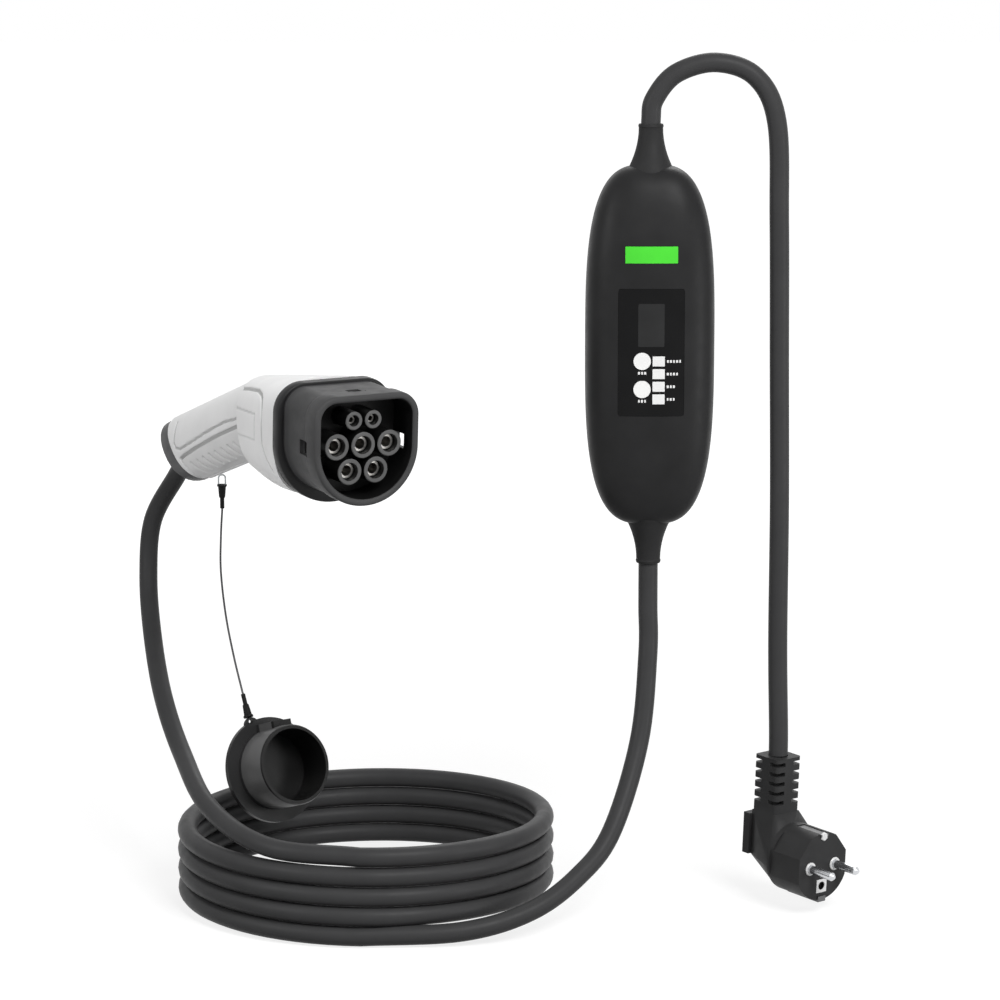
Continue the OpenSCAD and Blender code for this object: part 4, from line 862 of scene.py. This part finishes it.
def crown_patch(name, middle, size, corner, sunk, thick, finish):
    rows, cols = 60, 36
    v = np.sin(np.linspace(-1, 1, rows) * math.pi / 2) * size[1] / 2
    over = np.maximum(np.abs(v) - size[1] / 2 + corner, 0)
    half = size[0] / 2 - corner + np.sqrt(np.maximum(corner ** 2 - over ** 2, 0))
    x = middle[0] + half[:, None] * np.linspace(-1, 1, cols)[None, :]
    z = np.repeat((middle[1] + v)[:, None], cols, axis=1)
    front = crown_y(x, z) + sunk
    grids = [np.stack([x, y, z], -1) / 1000 for y in (front, front + thick)]
    rim = list(range(cols)) + [r * cols + cols - 1 for r in range(1, rows)]
    rim += list(range(rows * cols - 2, (rows - 1) * cols - 1, -1))
    rim += [r * cols for r in range(rows - 2, 0, -1)]
    faces = grid_faces(rows, cols) + [f[::-1] for f in grid_faces(rows, cols, False, rows * cols)]
    faces += [(a, b, b + rows * cols, a + rows * cols) for a, b in zip(rim[1:] + rim[:1], rim)]
    piece = outward(finish_mesh(name, grids, faces, finish))
    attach(piece, "base")
    return piece


for *form, slot, node in PATCHES:
    piece = crown_patch(*form, slot)
    if node == "panel_overlay":
        cut_and_bake(piece, [cutter("panel_holes", BUTTON_AT, BUTTON_HOLE_R, *CROWN_CUT)])
        sharpen(piece)
    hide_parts(node)
    print(piece.name, len(piece.data.polygons), "faces")

# %% [markdown]
# Lights, marks, contact rims, pin collars and screws repeat. One Geometry Nodes tree serves them
# all: it puts a template on every point of a small mesh, stretches it by the point's own size,
# makes the copies real and gives them their finish. The result is then kept as plain mesh.

# %% Repeats with Geometry Nodes
REPEAT = bpy.data.node_groups.new("repeat_on_points", "GeometryNodeTree")
sockets = [REPEAT.interface.new_socket(name, in_out=way, socket_type="NodeSocket" + kind)
           for name, way, kind in (("Places", "INPUT", "Geometry"), ("Template", "INPUT", "Object"),
                                   ("Finish", "INPUT", "Material"), ("Geometry", "OUTPUT", "Geometry"))]
TEMPLATE_INPUT, FINISH_INPUT = sockets[1].identifier, sockets[2].identifier
start = add(REPEAT, "NodeGroupInput").outputs
info = add(REPEAT, "GeometryNodeObjectInfo", {"Object": start["Template"]})
stretch = add(REPEAT, "GeometryNodeInputNamedAttribute", {"Name": "stretch"}, data_type="FLOAT_VECTOR")
copies = add(REPEAT, "GeometryNodeInstanceOnPoints", {
    "Points": start["Places"], "Instance": info.outputs["Geometry"],
    "Scale": stretch.outputs["Attribute"]})
real = add(REPEAT, "GeometryNodeRealizeInstances", {"Geometry": copies.outputs["Instances"]})
paint = add(REPEAT, "GeometryNodeSetMaterial",
            {"Geometry": real.outputs["Geometry"], "Material": start["Finish"]})
add(REPEAT, "NodeGroupOutput", {"Geometry": paint.outputs["Geometry"]})


def repeated(name, places, template, finish, stretch=None):
    """Copies of a template, at places in metres, as one piece; the template is deleted."""
    mesh = plain_mesh(name, places)
    sizes = mesh.attributes.new("stretch", "FLOAT_VECTOR", "POINT")
    for value, size in zip(sizes.data, stretch or [(1, 1, 1)] * len(places)):
        value.vector = size
    piece = placed(name, mesh)
    modifier = piece.modifiers.new("repeat", "NODES")
    modifier.node_group = REPEAT
    modifier[TEMPLATE_INPUT] = template
    modifier[FINISH_INPUT] = FINISH[finish]
    bake(piece)
    drop(template)
    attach(piece, "base")
    print(name, len(places), "copies")
    return piece


print("repeat nodes", len(REPEAT.nodes))

# %% [markdown]
# Templates: a bevelled bar for lights and marks, and a turned profile for rims, collars and screws.
# A turned profile is a list of radius and height; a negative radius asks for a six-sided row. The
# Screw modifier could turn a profile too, but not one whose rows differ in form.

# %% Templates
TURNED_SIDES = 48


def bar_template(name, size, edge):
    mesh = bmesh.new()
    bmesh.ops.create_cube(mesh, size=1)
    bmesh.ops.scale(mesh, vec=[s / 1000 for s in size], verts=mesh.verts)
    bmesh.ops.bevel(mesh, geom=mesh.edges[:], offset=edge / 1000, segments=2, affect="EDGES",
                    profile=0.5)
    data = bpy.data.meshes.new(name)
    mesh.to_mesh(data)
    mesh.free()
    return placed(name, data)


def turned_template(name, profile, place, closed=True):
    """Revolves a profile; place turns points along local x into the part's frame."""
    angle = np.linspace(0, 2 * math.pi, TURNED_SIDES, endpoint=False)
    six = math.cos(math.pi / 6) / np.cos((angle + math.pi / 6) % (math.pi / 3) - math.pi / 6)
    rows = []
    for radius, height in profile:
        r = -radius * six if radius < 0 else np.full(TURNED_SIDES, radius)
        rows.append(np.stack([np.full(TURNED_SIDES, height), r * np.cos(angle), r * np.sin(angle)], -1))
    if closed:
        rows.append(rows[0])
    verts = place(np.array(rows)) - place(np.zeros(3))
    return outward(finish_mesh(name, verts, grid_faces(len(rows), TURNED_SIDES, True), "steel"))


print("turned sides", TURNED_SIDES)

# %% [markdown]
# Four status lights and the short marks beside them. The marks are plain dashes. They stand a
# little proud of the panel, since two faces in one place would flicker.

# %% Lights and marks
LIGHT_X, LIGHT_Z = 4.2, [-5.75 - 7.1 * k for k in range(4)]
MARK_X, MARK_STEP, MARK_COUNTS, KEY_MARK_DROP = 9.3, 1.7, (5, 4, 3, 3), 6.7


def on_crown(x, z, sunk):
    """Place under the crown, in metres."""
    return x / 1000, (crown_y(x, z) + sunk) / 1000, z / 1000


lights = repeated("light_faces", [on_crown(LIGHT_X, z, 0.42) for z in LIGHT_Z],
                  bar_template("light_bar", (6.8, 0.7, 5.6), 0.12), "light_clear")
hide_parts("status_lights")
marks = [(MARK_X + MARK_STEP * i, z) for z, n in zip(LIGHT_Z, MARK_COUNTS) for i in range(n)]
marks += [(BUTTON_X + MARK_STEP * (i - 1), z - KEY_MARK_DROP) for z in BUTTON_Z for i in range(3)]
repeated("panel_marks", [on_crown(x, z, 0.2) for x, z in marks],
         bar_template("mark_bar", (1.15, 0.14, 1.5), 0.03), "mark_white",
         [(1 if i % 2 else 0.8, 1, 1) for i in range(len(marks))])

# %% [markdown]
# The seven contacts stand in towers with grey rims. The case screws have a six-sided recess, seen
# in the back of the box. Both are round, and so a turned profile is all that they need.

# %% Contact rims and screws
POWER_AT = [(-16, 0), (0, 0), (16, 0), (-8, -14.2), (8, -14.2)]
SIGNAL_AT = [(-5.9, 13.8), (5.9, 13.8)]
TOWER_FRONT_X, SCREW_SEAT_Y = -5, -0.007
for name, places, inner, outer in (("power_rims", POWER_AT, 5, 7.2),
                                   ("signal_rims", SIGNAL_AT, 3.1, 5.05)):
    rim = turned_template("rim", [(inner, -0.6), (inner, 0.15), (inner + 0.25, 0.4), (outer - 0.4, 0.4),
                                  (outer, 0.05), (outer, -0.6)], from_connector)
    repeated(name, from_connector([(TOWER_FRONT_X, y, z) for y, z in places]), rim,
             "tower_grey")


def along_y(points):
    p = np.asarray(points, float)
    return np.stack([p[..., 2], p[..., 0], p[..., 1]], -1) / 1000


screw = turned_template("screw", [
    (0.01, -15), (1.25, -15), (1.25, 0), (2.85, 0), (2.85, 1.5), (2.4, 2.1), (-1.5, 2.1), (-1.4, 0.9),
    (0.01, 0.9)], along_y, closed=False)
screws = repeated("case_screw_heads", [(x / 1000, SCREW_SEAT_Y, z / 1000) for x, z in SCREW_AT], screw,
                  "clip_metal")
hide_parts("case_screws")

# %% [markdown]
# On the plug, a collar stands round the root of each pin, the earth clip ends in a pale bead and
# a near-black cup in the bore of the earth socket gives it painted shade. They are turned in the
# plug's own frame, because the plug hangs askew.

# %% Plug details
PLUG_ENTRY, PLUG_TURN = np.array([75, -21, -236]), (3, -50)
PLUG_FACE = [40, 0, -56]  # from the cable's entry to the middle of the face
PLUG_DETAILS = [  # name, profile, closed, places, finish, slot
    ("pin_collars", [(2.45, -0.5), (2.45, 0.5), (2.7, 0.7), (3.5, 0.7), (3.8, 0.4), (3.8, -0.5)], True,
     [(0, -9.5, 0), (0, 9.5, 0)], "socket_white", "plug_black"),
    ("clip_end_cap", [(0.01, -0.4), (-2.6, -0.4), (-2.6, 0.5), (-2.2, 0.9), (0.01, 0.9)], False,
     [(0, 0, 17.6)], "socket_white", "steel"),
    # painted shade: a near-black cup in the bore of the earth socket
    ("socket_liner", [(0.01, -3), (2.43, -3), (2.43, -0.3), (2.3, -0.3), (2.3, -2), (0.01, -2)], True,
     [(0, 0, -11.5)], "carrier_black", "socket_white"),
]


def from_plug(points):
    """Millimetres in the plug's frame to metres in the part's frame."""
    return (PLUG_ENTRY + turned(np.asarray(points, float) + PLUG_FACE, *PLUG_TURN)) / 1000


for name, profile, closed, places, finish, slot in PLUG_DETAILS:
    template = turned_template(name + "_template", profile, from_plug, closed)
    repeated(name, from_plug(places), template, finish)
NODES["earth_clips"].data.materials[0] = FINISH["clip_metal"]

# %% [markdown]
# The three cords, by name.

print("cords", vehicle_cable.name, mains_lead.name, tether.name)

# %% [markdown]
# The cap is one moulding. Its inside, its rim and its flange are painted darker than the barrel:
# painted shade. The finish finds these zones by the distance from the cap's axis and along it,
# worked out from Object coordinates, so that the node needs no second material.

# %% Cap finish
CAP_POS, CAP_TURN = (-0.2012, -0.015, -0.2431), (-18, -53)
CAP_INNER_R, CAP_OUTER_R = 0.0231, 0.0236
CAP_FLOOR, CAP_FLANGE, CAP_TIP = -0.0255, -0.0215, -0.008  # along the axis


def vector_math(tree, operation, *values):
    return add(tree, "ShaderNodeVectorMath", dict(enumerate(values)), operation=operation).outputs


def number_math(tree, operation, *values):
    return add(tree, "ShaderNodeMath", dict(enumerate(values)), operation=operation).outputs[0]


cap_finish = FINISH["cap_black"]
tree = cap_finish.node_tree
axis = tuple(turned([1, 0, 0], *CAP_TURN))
away = vector_math(tree, "SUBTRACT", object_coords(tree), CAP_POS)["Vector"]
along = vector_math(tree, "DOT_PRODUCT", away, axis)["Value"]
off_axis = vector_math(tree, "CROSS_PRODUCT", away, axis)["Vector"]
radius = vector_math(tree, "LENGTH", off_axis)["Value"]
# Painted shade: masks for the inside, the rim and the flange of the cap.
inside_shade_mask = number_math(tree, "MULTIPLY", number_math(tree, "LESS_THAN", radius, CAP_INNER_R),
                     number_math(tree, "GREATER_THAN", along, CAP_FLOOR))
rim_shade_mask = number_math(tree, "MULTIPLY", number_math(tree, "GREATER_THAN", radius, CAP_OUTER_R),
                  number_math(tree, "GREATER_THAN", along, CAP_TIP))
flange_shade_mask = number_math(tree, "LESS_THAN", along, CAP_FLANGE)
# Painted shade: the flange, the inside and the rim get darker colours than the barrel.
for mask, colour in ((flange_shade_mask, (0.024, 0.024, 0.0245)), (inside_shade_mask, [0.007] * 3), (rim_shade_mask, [0.006] * 3)):
    tinted(cap_finish, mask, colour)
print("cap axis", axis)

# %% [markdown]
# A pale floor and a soft studio. The floor and the world are white to the camera, and to the rays
# that mirrors and glass send out. All other light meets a plain pale floor, and so the object's
# shadow stays on it. Strong lamps could make the floor white too, but they would burn out the grip.

# %% Floor and world
FLOOR_Z, FLOOR_GREY, FLOOR_CORNERS = -0.322, 0.3, [(-6, -6), (6, -6), (6, 8), (-6, 8)]
GLOW = (0.45, 1.3, 0.79, 1.0)  # from and to a distance, from and to a strength
WORLD_LIGHT = 0.18


def seen_directly(tree):
    """1 for rays from the camera, from gloss and from glass, 0 for the rest."""
    path = add(tree, "ShaderNodeLightPath").outputs
    value = path["Is Camera Ray"]
    for name in ("Is Glossy Ray", "Is Transmission Ray"):
        value = number_math(tree, "MAXIMUM", value, path[name])
    return value


floor_material, tree, shader = new_material("studio_floor")
away = vector_math(tree, "LENGTH", object_coords(tree))["Value"]
glow = to_range(tree, away, *GLOW)
fill(tree, shader, {
    "Base Color": (*[FLOOR_GREY] * 3, 1),
    "Roughness": 0.9,
    "Specular IOR Level": 0.0,
    "Emission Color": (1, 1, 1, 1),
    "Emission Strength": number_math(tree, "MULTIPLY", seen_directly(tree), glow),
})
floor_mesh = plain_mesh("studio_floor", [(x, y, FLOOR_Z) for x, y in FLOOR_CORNERS], [(0, 1, 2, 3)])
floor_mesh.materials.append(floor_material)
floor = placed("studio_floor", floor_mesh)

world = bpy.data.worlds.new("studio")
scene.world = world
world.use_nodes = True
tree = world.node_tree
strength = to_range(tree, seen_directly(tree), 0, 1, WORLD_LIGHT, 1)
fill(tree, tree.nodes["Background"], {"Color": (1, 1, 1, 1), "Strength": strength})
print("floor at", FLOOR_Z)

# %% [markdown]
# One large soft lamp lights the front, and three weak ones open the shadows. Area lamps with a wide
# face give soft edges; a sun lamp would draw them hard.

# %% Lamps
def softbox(name, place, target, size, power):
    data = bpy.data.lights.new(name, "AREA")
    data.shape = "RECTANGLE"
    data.size, data.size_y = size
    data.energy = power
    lamp = placed(name, data)
    lamp.location = place
    lamp.rotation_euler = (Vector(target) - Vector(place)).to_track_quat("-Z", "Y").to_euler()


softbox("key_light", (0.7, -1.6, 1.4), (-0.1, 0, -0.1), (1.0, 1.0), power=44)
softbox("fill_light", (-0.95, -0.65, 0.3), (-0.2, 0, -0.1), (0.5, 0.5), power=4.2)
softbox("side_light", (1.05, -0.55, -0.12), (0.1, -0.05, -0.28), (0.4, 0.4), power=3.5)
softbox("back_light", (0.3, 1.7, 1.3), (-0.1, 0, -0.1), (1.0, 1.0), power=10)
print("lamps", len(bpy.data.lights))
